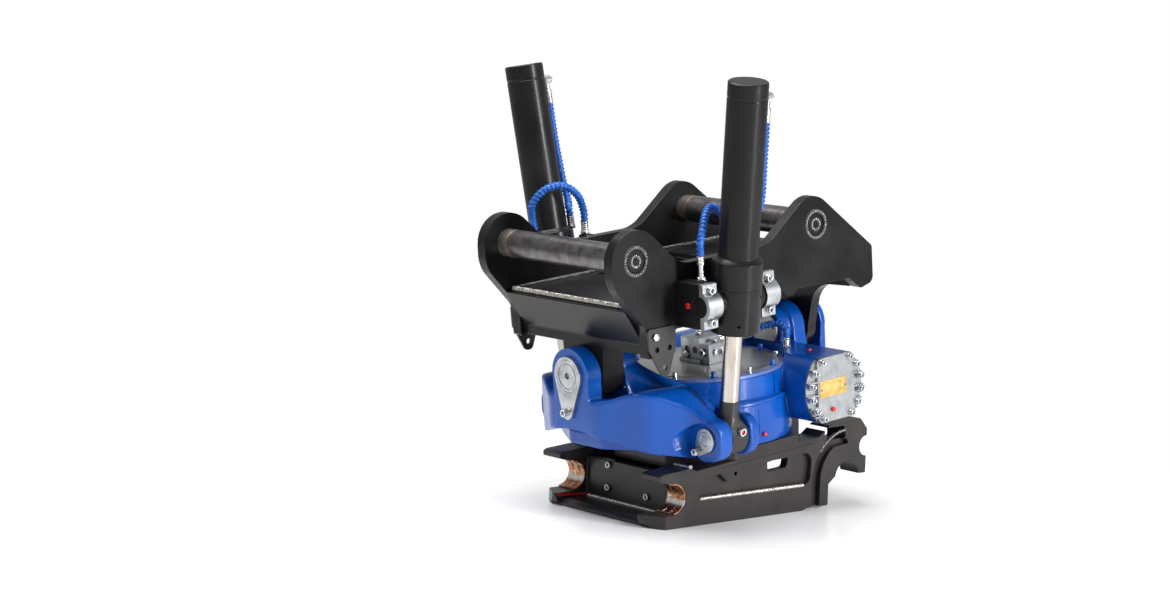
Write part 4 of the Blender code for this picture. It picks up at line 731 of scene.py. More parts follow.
def rubber():
    """Black seal rubber, dull and a little grey with dust."""
    material, tree, shader, place = surface("seal_rubber", Specular_IOR_Level=0.3)
    patch = noise(tree, place, 8, 4.0, 0.7)
    tree.links.new(ramp(tree, patch, [(0.35, "101010"), (0.7, "262524")]), shader.inputs["Base Color"])
    tree.links.new(ramp(tree, patch, [(0.3, 0.6), (0.7, 0.8)]), shader.inputs["Roughness"])
    return material


def red_cap():
    """Red plastic of dust caps and port plugs."""
    material, tree, shader, place = surface("red_cap_plastic", Specular_IOR_Level=0.5)
    patch = noise(tree, place, 5, 3.0, 0.6)
    tree.links.new(ramp(tree, patch, [(0.3, "B01610"), (0.7, "D2241A")]), shader.inputs["Base Color"])
    tree.links.new(ramp(tree, patch, [(0.3, 0.28), (0.7, 0.42)]), shader.inputs["Roughness"])
    return material


chrome = chrome_rod()
red = red_cap()
seal = rubber()
groove = BARREL_TOP - 0.036
barrel_side = [(0, BARREL_TOP), (0.0462, BARREL_TOP), (BARREL_R, BARREL_TOP - 0.0028), (BARREL_R, groove),
               (0.0477, groove - 0.0014), (0.0477, groove - 0.0048), (BARREL_R, groove - 0.0062),
               (BARREL_R, COLLAR_TOP + 0.006), (0.0552, COLLAR_TOP + 0.0002), (0.0592, COLLAR_TOP - 0.0002),
               (COLLAR_R, COLLAR_TOP - 0.004), (COLLAR_R, COLLAR_SPLIT + 0.0008),
               (0.0617, COLLAR_SPLIT + 0.0003),
               (BARREL_BORE_R, COLLAR_SPLIT + 0.0003), (BARREL_BORE_R, BARREL_TOP - 0.03),
               (0, BARREL_TOP - 0.03)]
collar_side = [(0.0617, COLLAR_SPLIT), (COLLAR_R, COLLAR_SPLIT - 0.0008), (COLLAR_R, COLLAR_BOTTOM + 0.004),
               (0.0585, COLLAR_BOTTOM), (0.0335, COLLAR_BOTTOM), (0.0335, COLLAR_BOTTOM + 0.002),
               (ROD_R + 0.0003, COLLAR_BOTTOM + 0.002), (ROD_R + 0.0003, COLLAR_SPLIT)]
stub_end = BEARING_OFFSET + BEARING_T / 2 - 0.002
shoulder = ROD_SHOULDER - ram_length
for side, sign in SIDES.items():
    axis = RAM[side]
    barrel = turned(f"barrel_{side}", barrel_side, place=axis, steps=72)
    seat(ease(barrel, 0.0007), charcoal, f"ram_{side}", f"ram_barrel_{side}")
    collar = turned(f"collar_{side}", collar_side, place=axis, closed=True, steps=72)
    for first, last in ((-stub_end, -0.045), (0.045, stub_end)):
        fuse(collar, rod("stub", TRUNNION_R, first, last, (0, 0, 0), "Y", axis))
    for first, last in ((-0.0705, -0.045), (0.045, 0.0705)):
        fuse(collar, rod("stub_shoulder", 0.031, first, last, (0, 0, 0), "Y", axis))
    cut(collar, rod("bleed_hole", 0.0034, 0.02, 0.09, (0, 0.030, 0.016), "X", axis, 20),
        rod("bleed_hole", 0.0034, 0.02, 0.09, (0, -0.034, -0.050), "X", axis, 20))
    seat(ease(collar, 0.0009), charcoal, f"ram_{side}", f"trunnion_collar_{side}")
    wiper = turned(f"wiper_seal_{side}", [(0.0330, COLLAR_BOTTOM + 0.0018),
                                          (0.0322, COLLAR_BOTTOM - 0.0016),
                                          (ROD_R + 0.0007, COLLAR_BOTTOM - 0.0030),
                                          (ROD_R + 0.0004, COLLAR_BOTTOM + 0.0018)],
                   place=axis, closed=True)
    seat(ease(wiper, 0.0004), seal, f"ram_{side}")
    piston = BARREL_BORE_R - 0.0008
    rod_side = [(0, PISTON_LEVEL + 0.035), (piston, PISTON_LEVEL + 0.035), (piston, PISTON_LEVEL),
                (ROD_R, PISTON_LEVEL), (ROD_R, shoulder + 0.0003), (0, shoulder + 0.0003)]
    seat(ease(turned(f"chromed_rod_{side}", rod_side, place=axis, steps=72), 0.0006), chrome,
         f"rod_{side}", f"ram_rod_{side}")

    eye_edge = [(-0.0245, ROD_SHOULDER, 0), (0.0245, ROD_SHOULDER, 0), (0.0245, 0.052, 0.02)]
    eye_edge += fan(0, 0, EYE_R, 42, -222, 48) + [(-0.0245, 0.052, 0.02)]
    eye = slab(f"forged_eye_{side}", [(u, v - ram_length, r) for u, v, r in eye_edge], -EYE_T / 2,
               EYE_T / 2, "Y", axis)
    waste = [(0.080, 0.010), (0.080, -0.095), (EYE_T / 2 + 0.003, -0.045), (0.0245, -0.030),
             (0.0235, 0.010)]
    cut(eye, rod("eye_bore", EYE_BORE_R, -0.05, 0.05, (0, 0, -ram_length), "Y", axis),
        turned("neck_waste", waste, (0, 0, shoulder), "Z", axis, closed=True))
    seat(ease(eye, 0.0022, 3), black, f"rod_{side}", f"rod_end_{side}")
    ring = turned(f"grease_ring_{side}", [(0.0062, 0.0085), (0.0100, 0.0085), (0.0106, 0.0070),
                                          (0.0106, -0.002), (0.0062, -0.002)],
                  place=LEVEL, steps=28, closed=True)
    spot = stand(sign * 0.0450, 0.002, -ram_length + 0.0215, "X" if sign > 0 else "-X", axis)
    copies(f"grease_rings_{side}", ring, [spot], zinc, f"rod_{side}")
    cap = turned("grease_cap", [(0, 0.0068), (0.0038, 0.0062), (0.0046, 0.0040), (0.0046, -0.002),
                                (0, -0.002)], place=LEVEL, steps=20)
    copies(f"grease_cap_{side}", cap, [spot], red, f"rod_{side}")

# Hose ends and fittings on the rams: forged and zinc plated, with crimped ferrules. The hoses are blue,
# and a spiral guard of the same blue is wound over them.


def hose_blue():
    """Blue hose cover, cloth marked and scuffed pale on its high spots."""
    material, tree, shader, place = surface("hose_cover", Specular_IOR_Level=0.4)
    patch = noise(tree, place, 12, 4.0, 0.65)
    tree.links.new(ramp(tree, patch, [(0.32, "0A4390"), (0.55, "1258AE"), (0.75, "3A7CC4")]),
                   shader.inputs["Base Color"])
    tree.links.new(ramp(tree, patch, [(0.3, 0.38), (0.7, 0.55)]), shader.inputs["Roughness"])
    relief(tree, shader, noise(tree, place, 1.5, 2.0), 0.08)
    return material


hose_cover = hose_blue()
HOSE_R = 0.008
FEED_OUTER = (0.312, -0.2765)


def ferrule(length):
    """A crimped hose end: a sleeve with three pressed rings, standing on the ground plane."""
    rings = [(0, length), (0.0086, length), (0.0097, length - 0.001)]
    for level in (0.70, 0.48, 0.26):
        rings += [(0.0097, length * level + 0.0012), (0.0089, length * level),
                  (0.0089, length * level - 0.0020), (0.0097, length * level - 0.0032)]
    return ease(turned("ferrule", rings + [(0.0097, 0.0006), (0.0080, 0), (0, 0)], place=LEVEL, steps=28),
                0.0003, 1)


def smooth_route(points, spacing):
    """Points along a smooth curve through the route's own points."""
    knots = [Vector(point) for point in points]
    knots = [2 * knots[0] - knots[1]] + knots + [2 * knots[-1] - knots[-2]]
    route = []
    for a, b, c, d in zip(knots, knots[1:], knots[2:], knots[3:]):
        count = max(1, round((c - b).length / spacing))
        for k in range(count):
            t = k / count
            route.append(0.5 * ((2 * b) + (c - a) * t + (2 * a - 5 * b + 4 * c - d) * t * t
                                + (3 * b - a - 3 * c + d) * t * t * t))
    return route + [knots[-2]]


def guard_coil(route, radius, pitch, steps=14):
    """A helix wound on a route, for the spiral guard."""
    run = 0.0
    coil = []
    side = (route[1] - route[0]).orthogonal().normalized()
    for behind, ahead in zip(route, route[1:]):
        aim = (ahead - behind).normalized()
        side = (side - aim * side.dot(aim)).normalized()
        other = aim.cross(side)
        count = max(1, round((ahead - behind).length * steps / pitch))
        for k in range(count):
            angle = 2 * math.pi * run / pitch
            coil.append(behind.lerp(ahead, k / count) + radius * (math.cos(angle) * side
                                                                  + math.sin(angle) * other))
            run += (ahead - behind).length / count
    return coil


def fixed_hose(name, knots, place, body, stands_for, guard_pitch=0.0105):
    """A hose held at both ends, with its guard."""
    route = smooth_route(knots, 0.006)
    hose = seat(drawn(name, route, HOSE_R, place, 20), hose_cover, body, stands_for)
    guard = seat(drawn(name + "_guard", guard_coil(route, HOSE_R + 0.0006, guard_pitch), 0.0021, place, 6),
                 hose_cover, body)


for side, sign in SIDES.items():
    axis = RAM[side]
    level = BARREL_TOP - 0.047
    out = BARREL_R + 0.017
    eye = turned(f"banjo_{side}", [(0.0118, out + 0.0085), (0.0118, out - 0.0085), (0, out - 0.0085),
                                   (0, out + 0.0085)],
                 (0, 0, level), "Y", axis, 32, True)
    fuse(eye, rod("banjo_seat", 0.0098, BARREL_R - 0.001, out, (0, 0, level), "Y", axis, 32),
         rod("banjo_stem", 0.0068, level - 0.030, level - 0.006, (0, out, 0), "Z", axis, 24))
    seat(ease(eye, 0.0008), zinc, f"ram_{side}", f"ram_banjo_{side}")
    copies(f"banjo_screw_{side}", socket_screw(0.0095, 0.0055), [stand(0, out + 0.0083, level, "Y", axis)],
           zinc, f"ram_{side}")
    start = level - 0.060 - 0.0003
    copies(f"ram_ferrule_{side}", ferrule(0.034), [stand(0, out, level - 0.060, "Z", axis)], zinc,
           f"ram_{side}")
    x = -sign * ELBOW[0]
    knots = [(0, out, start), (0, out, start - 0.10), (-sign * 0.004, out + 0.002, start - 0.20),
             (-sign * 0.022, 0.060, start - 0.25), (x, ELBOW[1], ELBOW[2] + 0.022),
             (x, ELBOW[1], ELBOW[2] + 0.001)]
    fixed_hose(f"ram_hose_jacket_{side}", knots, axis, f"ram_{side}", f"ram_hose_{side}")
    copies(f"collar_ferrule_{side}", ferrule(0.028), [stand(x, ELBOW[1], ELBOW[2] + 0.0005, "-Z", axis)],
           zinc, f"ram_{side}")
    copies(f"collar_nut_{side}", hexagon(0.019, 0.009),
           [stand(x, ELBOW[1], COLLAR_TOP - 0.002, "Z", axis)], zinc, f"ram_{side}")

# Feed hoses: short loops that carry oil from the base block of each front bearing to a bracket on the side
# plate. Each has a hexagon adaptor and a crimped end at both feet.

near_loop = [(0.3120, -0.2765, 0.318), (0.3125, -0.2750, 0.334), (0.304, -0.257, 0.364),
             (0.286, -0.231, 0.391), (0.270, -0.202, 0.404), (0.264, -0.173, 0.397), (0.266, -0.149, 0.371),
             (0.2715, -0.142, 0.336)]
far_loop = [(0.3120, -0.2765, 0.318), (0.3130, -0.2800, 0.340), (0.307, -0.284, 0.372),
            (0.292, -0.264, 0.404),
            (0.276, -0.232, 0.418), (0.266, -0.198, 0.411), (0.264, -0.164, 0.382), (0.2715, -0.143, 0.340)]
feed_start = base_high + 0.0614
feed_end = FEED_BRACKET_TOP + 0.0334
for side, loop in (("near", near_loop), ("far", far_loop)):
    sign = SIDES[side]
    knots = [(*FEED_OUTER, feed_start), *loop, (*FEED_INNER, feed_end)]
    fixed_hose(f"feed_hose_jacket_{side}", [(sign * x, y, z) for x, y, z in knots], ROTOR, "hitch",
               f"feed_hose_{side}")
    for foot, (x, y), low, high in (("outer", FEED_OUTER, base_high, feed_start),
                                    ("inner", FEED_INNER, FEED_BRACKET_TOP, feed_end)):
        copies(f"feed_{foot}_nut_{side}", hexagon(0.0205, 0.011), [stand(sign * x, y, low)], zinc, "hitch")
        neck = turned(f"feed_{foot}_neck_{side}", [(0, high - 0.020), (0.0072, high - 0.020),
                                                   (0.0072, low + 0.010), (0, low + 0.010)],
                      (sign * x, y, 0))
        seat(ease(neck, 0.0004), zinc, "hitch")
        copies(f"feed_{foot}_ferrule_{side}", ferrule(0.0205), [stand(sign * x, y, high - 0.0208)], zinc,
               "hitch")
    copies(f"base_plug_{side}", hexagon(0.013, 0.004),
           [stand(sign * 0.300, RAM_Y - BEARING_OFFSET - BEARING_T / 2 + 0.0003,
                                                             TRUNNION_Z, "-Y")], red, "hitch")

# Rotor housing: one iron casting with the drum, the worm housing across its back, the two tilt ears, and
# the broad curved arms that end in the ram clevises. Fillets are as cast, and the faces and bores are
# machined. Deep blue.


def blue_paint():
    """Wet-look blue over castings: deep, glossy, with soft casting waves under it and fine orange peel."""
    material, tree, shader, place = surface("blue_paint", Specular_IOR_Level=0.30, Coat_Weight=0.18,
                                            Coat_Roughness=0.05)
    broad = noise(tree, place, 130, 3.0, 0.5)
    rub = noise(tree, place, 7.0, 5.0, 0.75)
    base = ramp(tree, broad, [(0.30, "003F92"), (0.55, "00489E"), (0.72, "0051AC")])
    worn = ramp(tree, rub, [(0.60, 0.0), (0.90, 0.22)])
    tone = node(tree, "ShaderNodeMix", {0: worn, "A": base, "B": rgb("06357A")},
                data_type="RGBA").outputs[2]
    tree.links.new(tone, shader.inputs["Base Color"])
    tree.links.new(ramp(tree, broad, [(0.3, 0.24), (0.7, 0.36)]), shader.inputs["Roughness"])
    waves = node(tree, "ShaderNodeMath", {0: noise(tree, place, 16, 2.0), 1: 8.0,
                                          2: noise(tree, place, 1.9, 2.0)},
                 operation="MULTIPLY_ADD").outputs[0]
    relief(tree, shader, waves, 0.03)
    return material


blue = blue_paint()
DRUM_R, DRUM_LOW_R, DRUM_TOP, DRUM_FLANGE, DRUM_BOTTOM = 0.208, 0.219, -0.056, -0.118, -0.2245
CAVITY_R, CAVITY_TOP, SWIVEL_R, SLEEVE_R, DISC_R, DISC_TOP = 0.1755, -0.078, 0.0553, 0.085, 0.2065, -0.0456
FRONT_EAR, FRONT_INNER_EAR = (-0.443, -0.399), (-0.325, -0.282)
REAR_INNER_EAR, REAR_EAR, REAR_HUB_Y = (0.259, 0.3005), (0.362, 0.380), 0.225
CLEVIS_FRONT_EAR, CLEVIS_REAR_EAR = (-0.263, -0.223), (-0.165, -0.137)
WORM_Y, WORM_Z, WORM_BORE_R, WORM_HOUSING_X = 0.197, -0.113, 0.0455, 0.262
COVER_X, COVER_R, COVER_FLAT, COVER_BOLT_R = 0.279, 0.100, 0.083, 0.0878


def soften(piece, voxel, rounds):
    """Melts overlapping solids into one skin with cast fillets."""
    melt = piece.modifiers.new("melt", "REMESH")
    melt.mode = "VOXEL"
    melt.voxel_size = voxel
    relax = piece.modifiers.new("relax", "SMOOTH")
    relax.iterations = rounds
    relax.factor = 0.5
    return settle(piece)


def heap(name, *lumps, both_sides=False):
    """One object of several solids, and of their mirror images if both_sides."""
    bm = bmesh.new()
    for lump in lumps:
        bm.from_mesh(lump.data)
        bpy.data.objects.remove(lump)
    if both_sides:
        twins = bmesh.ops.duplicate(bm, geom=bm.verts[:] + bm.edges[:] + bm.faces[:])["geom"]
        bmesh.ops.scale(bm, vec=(-1, 1, 1), verts=[v for v in twins if isinstance(v, bmesh.types.BMVert)])
    return piece_from(bm, name, LEVEL)


def cast_arms():
    """The arms from the front ear to the clevises: a front view laid over a plan, then softened."""
    front = [(0.020, -0.060, 0), (0.100, -0.055, 0.10), (0.150, -0.036, 0.06), (0.198, -0.028, 0.06),
             (0.255, -0.078, 0.08),
             (0.292, -0.106, 0.030), (0.3405, -0.113, 0.034), (0.3405, -0.2065, 0.044),
             (0.275, -0.212, 0.04), (0.200, -0.186, 0.20), (0.100, -0.150, 0.20), (0.020, -0.137, 0)]
    plan = [(0.020, -0.4435, 0), (0.085, -0.4435, 0.06), (0.200, -0.375, 0.10), (0.262, -0.268, 0.06),
            (0.3405, -0.268, 0),
            (0.3405, -0.2225, 0), (0.200, -0.2225, 0.04), (0.165, -0.335, 0.08), (0.060, -0.4005, 0.04),
            (0.020, -0.4005, 0)]
    band = slab("arm_plan", plan, -0.25, 0.0, "Z", LEVEL, 12)
    join(band, [slab("arm_view", front, -0.50, -0.15, "Y", LEVEL, 12)], "INTERSECT")
    return soften(heap("arms", band, both_sides=True), 0.0032, 14)


def cast_webs():
    """The lower webs that sweep from the inner front ear round to the clevises."""
    view = [(0.010, -0.137, 0), (0.010, 0.040, 0), (0.056, 0.022, 0.03), (0.110, -0.030, 0.10),
            (0.200, -0.080, 0.06), (0.232, -0.110, 0), (0.232, -0.205, 0), (0.120, -0.190, 0)]
    plan = [(0.010, -0.325, 0), (0.075, -0.325, 0.05), (0.150, -0.245, 0.10), (0.232, -0.200, 0.05),
            (0.232, -0.165, 0), (0.130, -0.195, 0.05), (0.060, -0.282, 0.05), (0.010, -0.282, 0)]
    band = slab("web_plan", plan, -0.25, 0.06, "Z", LEVEL, 12)
    join(band, [slab("web_view", view, -0.50, -0.10, "Y", LEVEL, 12)], "INTERSECT")
    return soften(heap("webs", band, both_sides=True), 0.0032, 8)


def cast_clevises():
    """The rear ear of each clevis, the block behind the eye, and the round boss on top of it."""
    ear = [(0.100, -0.090, 0), (0.230, -0.100, 0.05), (0.290, -0.106, 0.03), (0.3405, -0.110, 0.036),
           (0.3405, -0.2085, 0.044), (0.240, -0.212, 0.03), (0.100, -0.212, 0)]
    slot = CLEVIS_X - EYE_R - 0.022
    root = [(0.120, CLEVIS_FRONT_EAR[0] + 0.02, 0), (slot, CLEVIS_FRONT_EAR[0] + 0.02, 0),
            (slot, CLEVIS_REAR_EAR[1] - 0.004, 0), (0.120, CLEVIS_REAR_EAR[1] - 0.004, 0)]
    lumps = [slab("clevis_ear", ear, *CLEVIS_REAR_EAR, "Y", LEVEL, 12), slab("clevis_root", root, -0.204,
                                                                             -0.120, "Z", LEVEL),
             rod("clevis_boss", 0.030, CLEVIS_FRONT_EAR[1] - 0.020, CLEVIS_REAR_EAR[1] - 0.01,
                 (slot - 0.032, 0, -0.120), "Y", LEVEL)]
    return heap("clevises", *lumps, both_sides=True)


def round_ear(radius, half, foot):
    return [(-half, foot, 0)] + fan(0, 0, radius, 192, -12, 40) + [(half, foot, 0)]


def worm_section(radius=COVER_R, half=COVER_FLAT):
    """The outline of the worm housing and its covers: a circle with its top and bottom cut flat."""
    flat = math.degrees(math.asin(half / radius))
    return (fan(WORM_Y, WORM_Z, radius, -flat, flat, 24) + fan(WORM_Y, WORM_Z, radius, 180 - flat,
                                                               180 + flat, 24))


def box(name, low, high, place=LEVEL):
    (x0, y0, z0), (x1, y1, z1) = low, high
    return slab(name, [(x0, y0, 0), (x1, y0, 0), (x1, y1, 0), (x0, y1, 0)], z0, z1, "Z", place)


lumps = [cast_arms(), cast_webs(), cast_clevises()]
lumps.append(slab("front_ear", round_ear(0.0675, 0.0625, -0.137), FRONT_EAR[0] - 0.004, FRONT_EAR[1]
                  + 0.003, "Y", LEVEL))
inner = [(-0.110, -0.190, 0), (-0.085, -0.060, 0.05)] + fan(0, 0, 0.0685, 186, -6, 40)
inner += [(0.085, -0.060, 0.05), (0.110, -0.190, 0)]
lumps.append(slab("inner_front_ear", inner, FRONT_INNER_EAR[0] - 0.003, FRONT_INNER_EAR[1], "Y", LEVEL))
lumps.append(box("yoke_saddle", (-0.062, FRONT_EAR[0] + 0.010, -0.137), (0.062, -0.300, -0.087)))
lumps.append(box("yoke_neck", (-0.080, -0.300, -0.196), (0.080, -0.120, -0.066)))
half = [(0.060, -0.405, 0.02), (0.180, -0.335, 0.06), (0.215, -0.240, 0.02), (0.215, -0.160, 0),
        (0.100, -0.130, 0)]
lumps.append(slab("yoke_floor", half + [(-u, v, r) for u, v, r in reversed(half)], -0.186, -0.150, "Z",
                  LEVEL))
lumps.append(slab("rear_ear", round_ear(0.0645, 0.0605, -0.170), REAR_EAR[0] - 0.003, REAR_EAR[1], "Y",
                  LEVEL))
rear_inner = [(-0.090, -0.150, 0)] + fan(0, 0, 0.0665, 186, -6, 40) + [(0.090, -0.150, 0)]
lumps.append(slab("rear_inner_ear", rear_inner, REAR_INNER_EAR[0], REAR_INNER_EAR[1] + 0.003, "Y", LEVEL))
lumps.append(rod("rear_hub", 0.0585, REAR_HUB_Y - 0.004, REAR_INNER_EAR[0] + 0.01, (0, 0, 0), "Y", LEVEL))
lumps.append(box("rear_saddle", (-0.060, REAR_INNER_EAR[0] + 0.01, -0.169), (0.060, REAR_EAR[1] - 0.003,
                                                                             -0.075)))
lumps.append(slab("worm_tube", worm_section(COVER_R + 0.0006, COVER_FLAT + 0.0006), -WORM_HOUSING_X - 0.006,
                  WORM_HOUSING_X + 0.006, "X", LEVEL))
lumps.append(turned("drum_core", [(0, DRUM_TOP), (DRUM_R - 0.0012, DRUM_TOP),
                                  (DRUM_R - 0.0012, DRUM_FLANGE),
                                  (DRUM_LOW_R - 0.0012, DRUM_FLANGE - 0.010),
                                  (DRUM_LOW_R - 0.0012, DRUM_BOTTOM - 0.004),
                                  (0, DRUM_BOTTOM - 0.004)], place=LEVEL, steps=96))
housing = soften(heap("rotor_casting", *lumps), 0.0028, 8)
drum = [(0, DRUM_TOP), (DRUM_R - 0.0016, DRUM_TOP), (DRUM_R, DRUM_TOP - 0.0016),
        (DRUM_R, DRUM_FLANGE + 0.010),
        (DRUM_R + 0.004, DRUM_FLANGE + 0.006), (DRUM_LOW_R + 0.002, DRUM_FLANGE + 0.0045),
        (DRUM_LOW_R + 0.0038, DRUM_FLANGE + 0.002),
        (DRUM_LOW_R + 0.0030, DRUM_FLANGE - 0.0005), (DRUM_LOW_R + 0.0040, DRUM_FLANGE - 0.003),
        (DRUM_LOW_R + 0.002, DRUM_FLANGE - 0.0065),
        (DRUM_LOW_R, DRUM_FLANGE - 0.008), (DRUM_LOW_R, DRUM_BOTTOM), (0, DRUM_BOTTOM)]
crisp = turned("drum_skin", drum, place=LEVEL, steps=128)
seam = math.radians(15.3)
seam_at = Matrix.Rotation(seam, 4, "Z")
rib = box("drum_rib", (DRUM_R - 0.006, -0.0035, DRUM_FLANGE), (DRUM_R + 0.0030, 0.0035, DRUM_TOP - 0.006),
          seam_at)
slot_at = Matrix.Rotation(math.radians(-7.0), 4, "Z")
slot_cut = box("drum_slot", (DRUM_LOW_R - 0.010, -0.0075, DRUM_BOTTOM + 0.026),
               (DRUM_LOW_R + 0.02, 0.0075, -0.137), slot_at)
cut(crisp, slot_cut)


def join_fast(piece, tools, operation):
    """As join, for a piece of very many faces."""
    for tool in tools:
        step = piece.modifiers.new(tool.name, "BOOLEAN")
        step.operation = operation
        step.solver = "MANIFOLD"
        step.object = tool
    settle(piece)
    for tool in tools:
        bpy.data.objects.remove(tool)


machined = [box("base_plane", (-0.5, -0.6, -0.4), (0.5, 0.6, DRUM_BOTTOM)),
            box("front_face", (-0.09, -0.50, -0.17), (0.09, FRONT_EAR[0], 0.10)),
            rod("front_slot", 0.0735, FRONT_EAR[1], FRONT_INNER_EAR[0], (0, 0, 0), "Y", LEVEL, 96),
            box("front_slot_sides", (-0.073, FRONT_EAR[1], -0.0875), (0.073, FRONT_INNER_EAR[0], 0.10)),
            rod("rear_slot", 0.0715, REAR_INNER_EAR[1], REAR_EAR[0], (0, 0, 0), "Y", LEVEL, 96),
            rod("hub_face", 0.066, 0.18, REAR_HUB_Y, (0, 0, 0), "Y", LEVEL, 96),
            box("near_cover_face", (WORM_HOUSING_X, 0.0, -0.24), (0.30, 0.33, 0.02)),
            box("far_cover_face", (-0.30, 0.0, -0.24), (-WORM_HOUSING_X, 0.33, 0.02)),
            rod("disc_seat", DISC_R + 0.001, DRUM_TOP, 0.0, (0, 0, 0), "Z", LEVEL, 128),
            rod("swivel_bore", SWIVEL_R + 0.0003, -0.30, 0.05, (0, 0, 0), "Z", LEVEL, 64),
            rod("worm_bore", WORM_BORE_R + 0.0002, -0.30, 0.30, (0, WORM_Y, WORM_Z), "X", LEVEL, 64),
            rod("front_pin_bore", TILT_PIN_R + 0.0004, -0.46, -0.22, (0, 0, 0), "Y", LEVEL, 64),
            rod("rear_pin_bore", TILT_PIN_R + 0.0004, 0.20, 0.42, (0, 0, 0), "Y", LEVEL, 64),
            turned("cavity", [(CAVITY_R, CAVITY_TOP), (CAVITY_R, -0.26), (SLEEVE_R, -0.26),
                              (SLEEVE_R, CAVITY_TOP)],
                   place=LEVEL, steps=96, closed=True)]
for sign in (1, -1):
    machined.append(rod("lock_face", 0.050, -0.36, CLEVIS_FRONT_EAR[0], (sign * (CLEVIS_X - 0.007), 0,
                                                                         CLEVIS_Z - 0.007), "Y", LEVEL))
    machined.append(rod("clevis_bore", CLEVIS_PIN_R + 0.0004, -0.30, -0.10, (sign * CLEVIS_X, 0, CLEVIS_Z),
                        "Y", LEVEL))
    slot_x = sorted((sign * (CLEVIS_X - EYE_R - 0.020), sign * 0.36))
    machined.append(box("clevis_slot", (slot_x[0], CLEVIS_FRONT_EAR[1], -0.23),
                        (slot_x[1], CLEVIS_REAR_EAR[0], -0.04)))
join_fast(housing, [crisp, rib], "UNION")
join_fast(housing, machined, "DIFFERENCE")
housing.data.transform(ROTOR)
thin = housing.modifiers.new("thin", "DECIMATE")
thin.ratio = min(1.0, 180000 / sum(len(face.vertices) - 2 for face in housing.data.polygons))
settle(housing)
housing.data.shade_smooth()
housing.data.set_sharp_from_angle(angle=math.radians(34))
seat(housing, blue, "rotor", "rotor_housing")

# Swivel disc: a turned steel plate bolted on the drum, with a thinner round cover in its middle. Half of
# its bolts are bare zinc, the others are sprayed with the housing, and blue overspray lies on its rim.


def disc_steel():
    """Turned steel plate with fine lathe rings, a dull bloom, and blue overspray toward the rim."""
    material, tree, shader, place = surface("turned_disc_steel")
    centre = ROTOR @ Vector((0, 0, DISC_TOP))
    reach = node(tree, "ShaderNodeVectorMath", {0: place, 1: centre}, operation="DISTANCE").outputs["Value"]
    patch = noise(tree, place, 45, 5.0, 0.65)
    steel = ramp(tree, patch, [(0.3, "A9ACAE"), (0.5, "BDBEBD"), (0.72, "CCC8C2")])
    ragged = node(tree, "ShaderNodeMath", {0: noise(tree, place, 30, 4.0, 0.7), 1: 0.045, 2: reach},
                  operation="MULTIPLY_ADD")
    spray = node(tree, "ShaderNodeMapRange", {"Value": ragged.outputs[0], "From Min": 0.196,
                                              "From Max": 0.226, "To Max": 0.8}).outputs[0]
    tone = node(tree, "ShaderNodeMix", {0: spray, "A": steel, "B": rgb("0B4DA6")},
                data_type="RGBA").outputs[2]
    tree.links.new(tone, shader.inputs["Base Color"])
    bare = node(tree, "ShaderNodeMath", {0: 1.0, 1: spray}, operation="SUBTRACT").outputs[0]
    tree.links.new(bare, shader.inputs["Metallic"])
    tree.links.new(ramp(tree, patch, [(0.3, 0.30), (0.7, 0.42)]), shader.inputs["Roughness"])
    rings = node(tree, "ShaderNodeMath", {0: reach, 1: 5200.0}, operation="MULTIPLY")
    rings = node(tree, "ShaderNodeMath", {0: rings.outputs[0]}, operation="SINE")
    relief(tree, shader, rings.outputs[0], 0.004)
    return material


disc_metal = disc_steel()
rim = DISC_TOP - 0.0012
disc_side = [(0, DISC_TOP), (0.1745, DISC_TOP), (0.1757, rim), (DISC_R - 0.0016, rim),
             (DISC_R, rim - 0.0016), (DISC_R, DRUM_TOP + 0.0028),
             (DISC_R - 0.0025, DRUM_TOP + 0.0024), (DISC_R - 0.0025, DRUM_TOP + 0.0003),
             (0, DRUM_TOP + 0.0003)]
disc = turned("swivel_disc", disc_side, steps=128)
cut(disc, turned("cover_groove", [(0.1772, rim + 0.002), (0.1772, rim - 0.0008), (0.1757, rim - 0.0008),
                                  (0.1757, rim + 0.002)],
                 steps=128, closed=True))
seat(ease(disc, 0.0004, 1), disc_metal, "rotor", "top_disc")
for finish, first, label in ((blue, 25, "sprayed"), (zinc, -5, "bare")):
    angles = [math.radians(first + 60 * k) for k in range(6)]
    spots = [stand(0.188 * math.cos(a), 0.188 * math.sin(a), rim, spin=a) for a in angles]
    post = [(0, 0.0150), (0.0052, 0.0150), (0.0062, 0.0142), (0.0062, 0.0016), (0.0098, 0.0012),
            (0.0098, -0.0005), (0, -0.0005)]
    copies(f"disc_bolts_{label}", turned("bolt", post, place=LEVEL, steps=24), spots, finish, "rotor")

# Worm covers: sand-cast aluminium, with twelve socket screws on bosses, a short rib beside each and a
# raised field in the middle. The near one has a bare brass plate on two screws and a red port plug.


def brass():
    """Pale rolled brass, brushed along the plate, with fingered dull patches."""
    material, tree, shader, place = surface("brushed_brass", Metallic=1.0)
    brushed = node(tree, "ShaderNodeMapping", {"Vector": place, "Scale": (1.0, 0.04, 1.0)}).outputs[0]
    tree.links.new(ramp(tree, noise(tree, place, 18, 4.0, 0.6), [(0.3, "C9A35A"), (0.7, "E6CB86")]),
                   shader.inputs["Base Color"])
    tree.links.new(ramp(tree, noise(tree, place, 9, 3.0), [(0.3, 0.30), (0.7, 0.42)]),
                   shader.inputs["Roughness"])
    relief(tree, shader, noise(tree, brushed, 0.4, 2.0), 0.012)
    return material


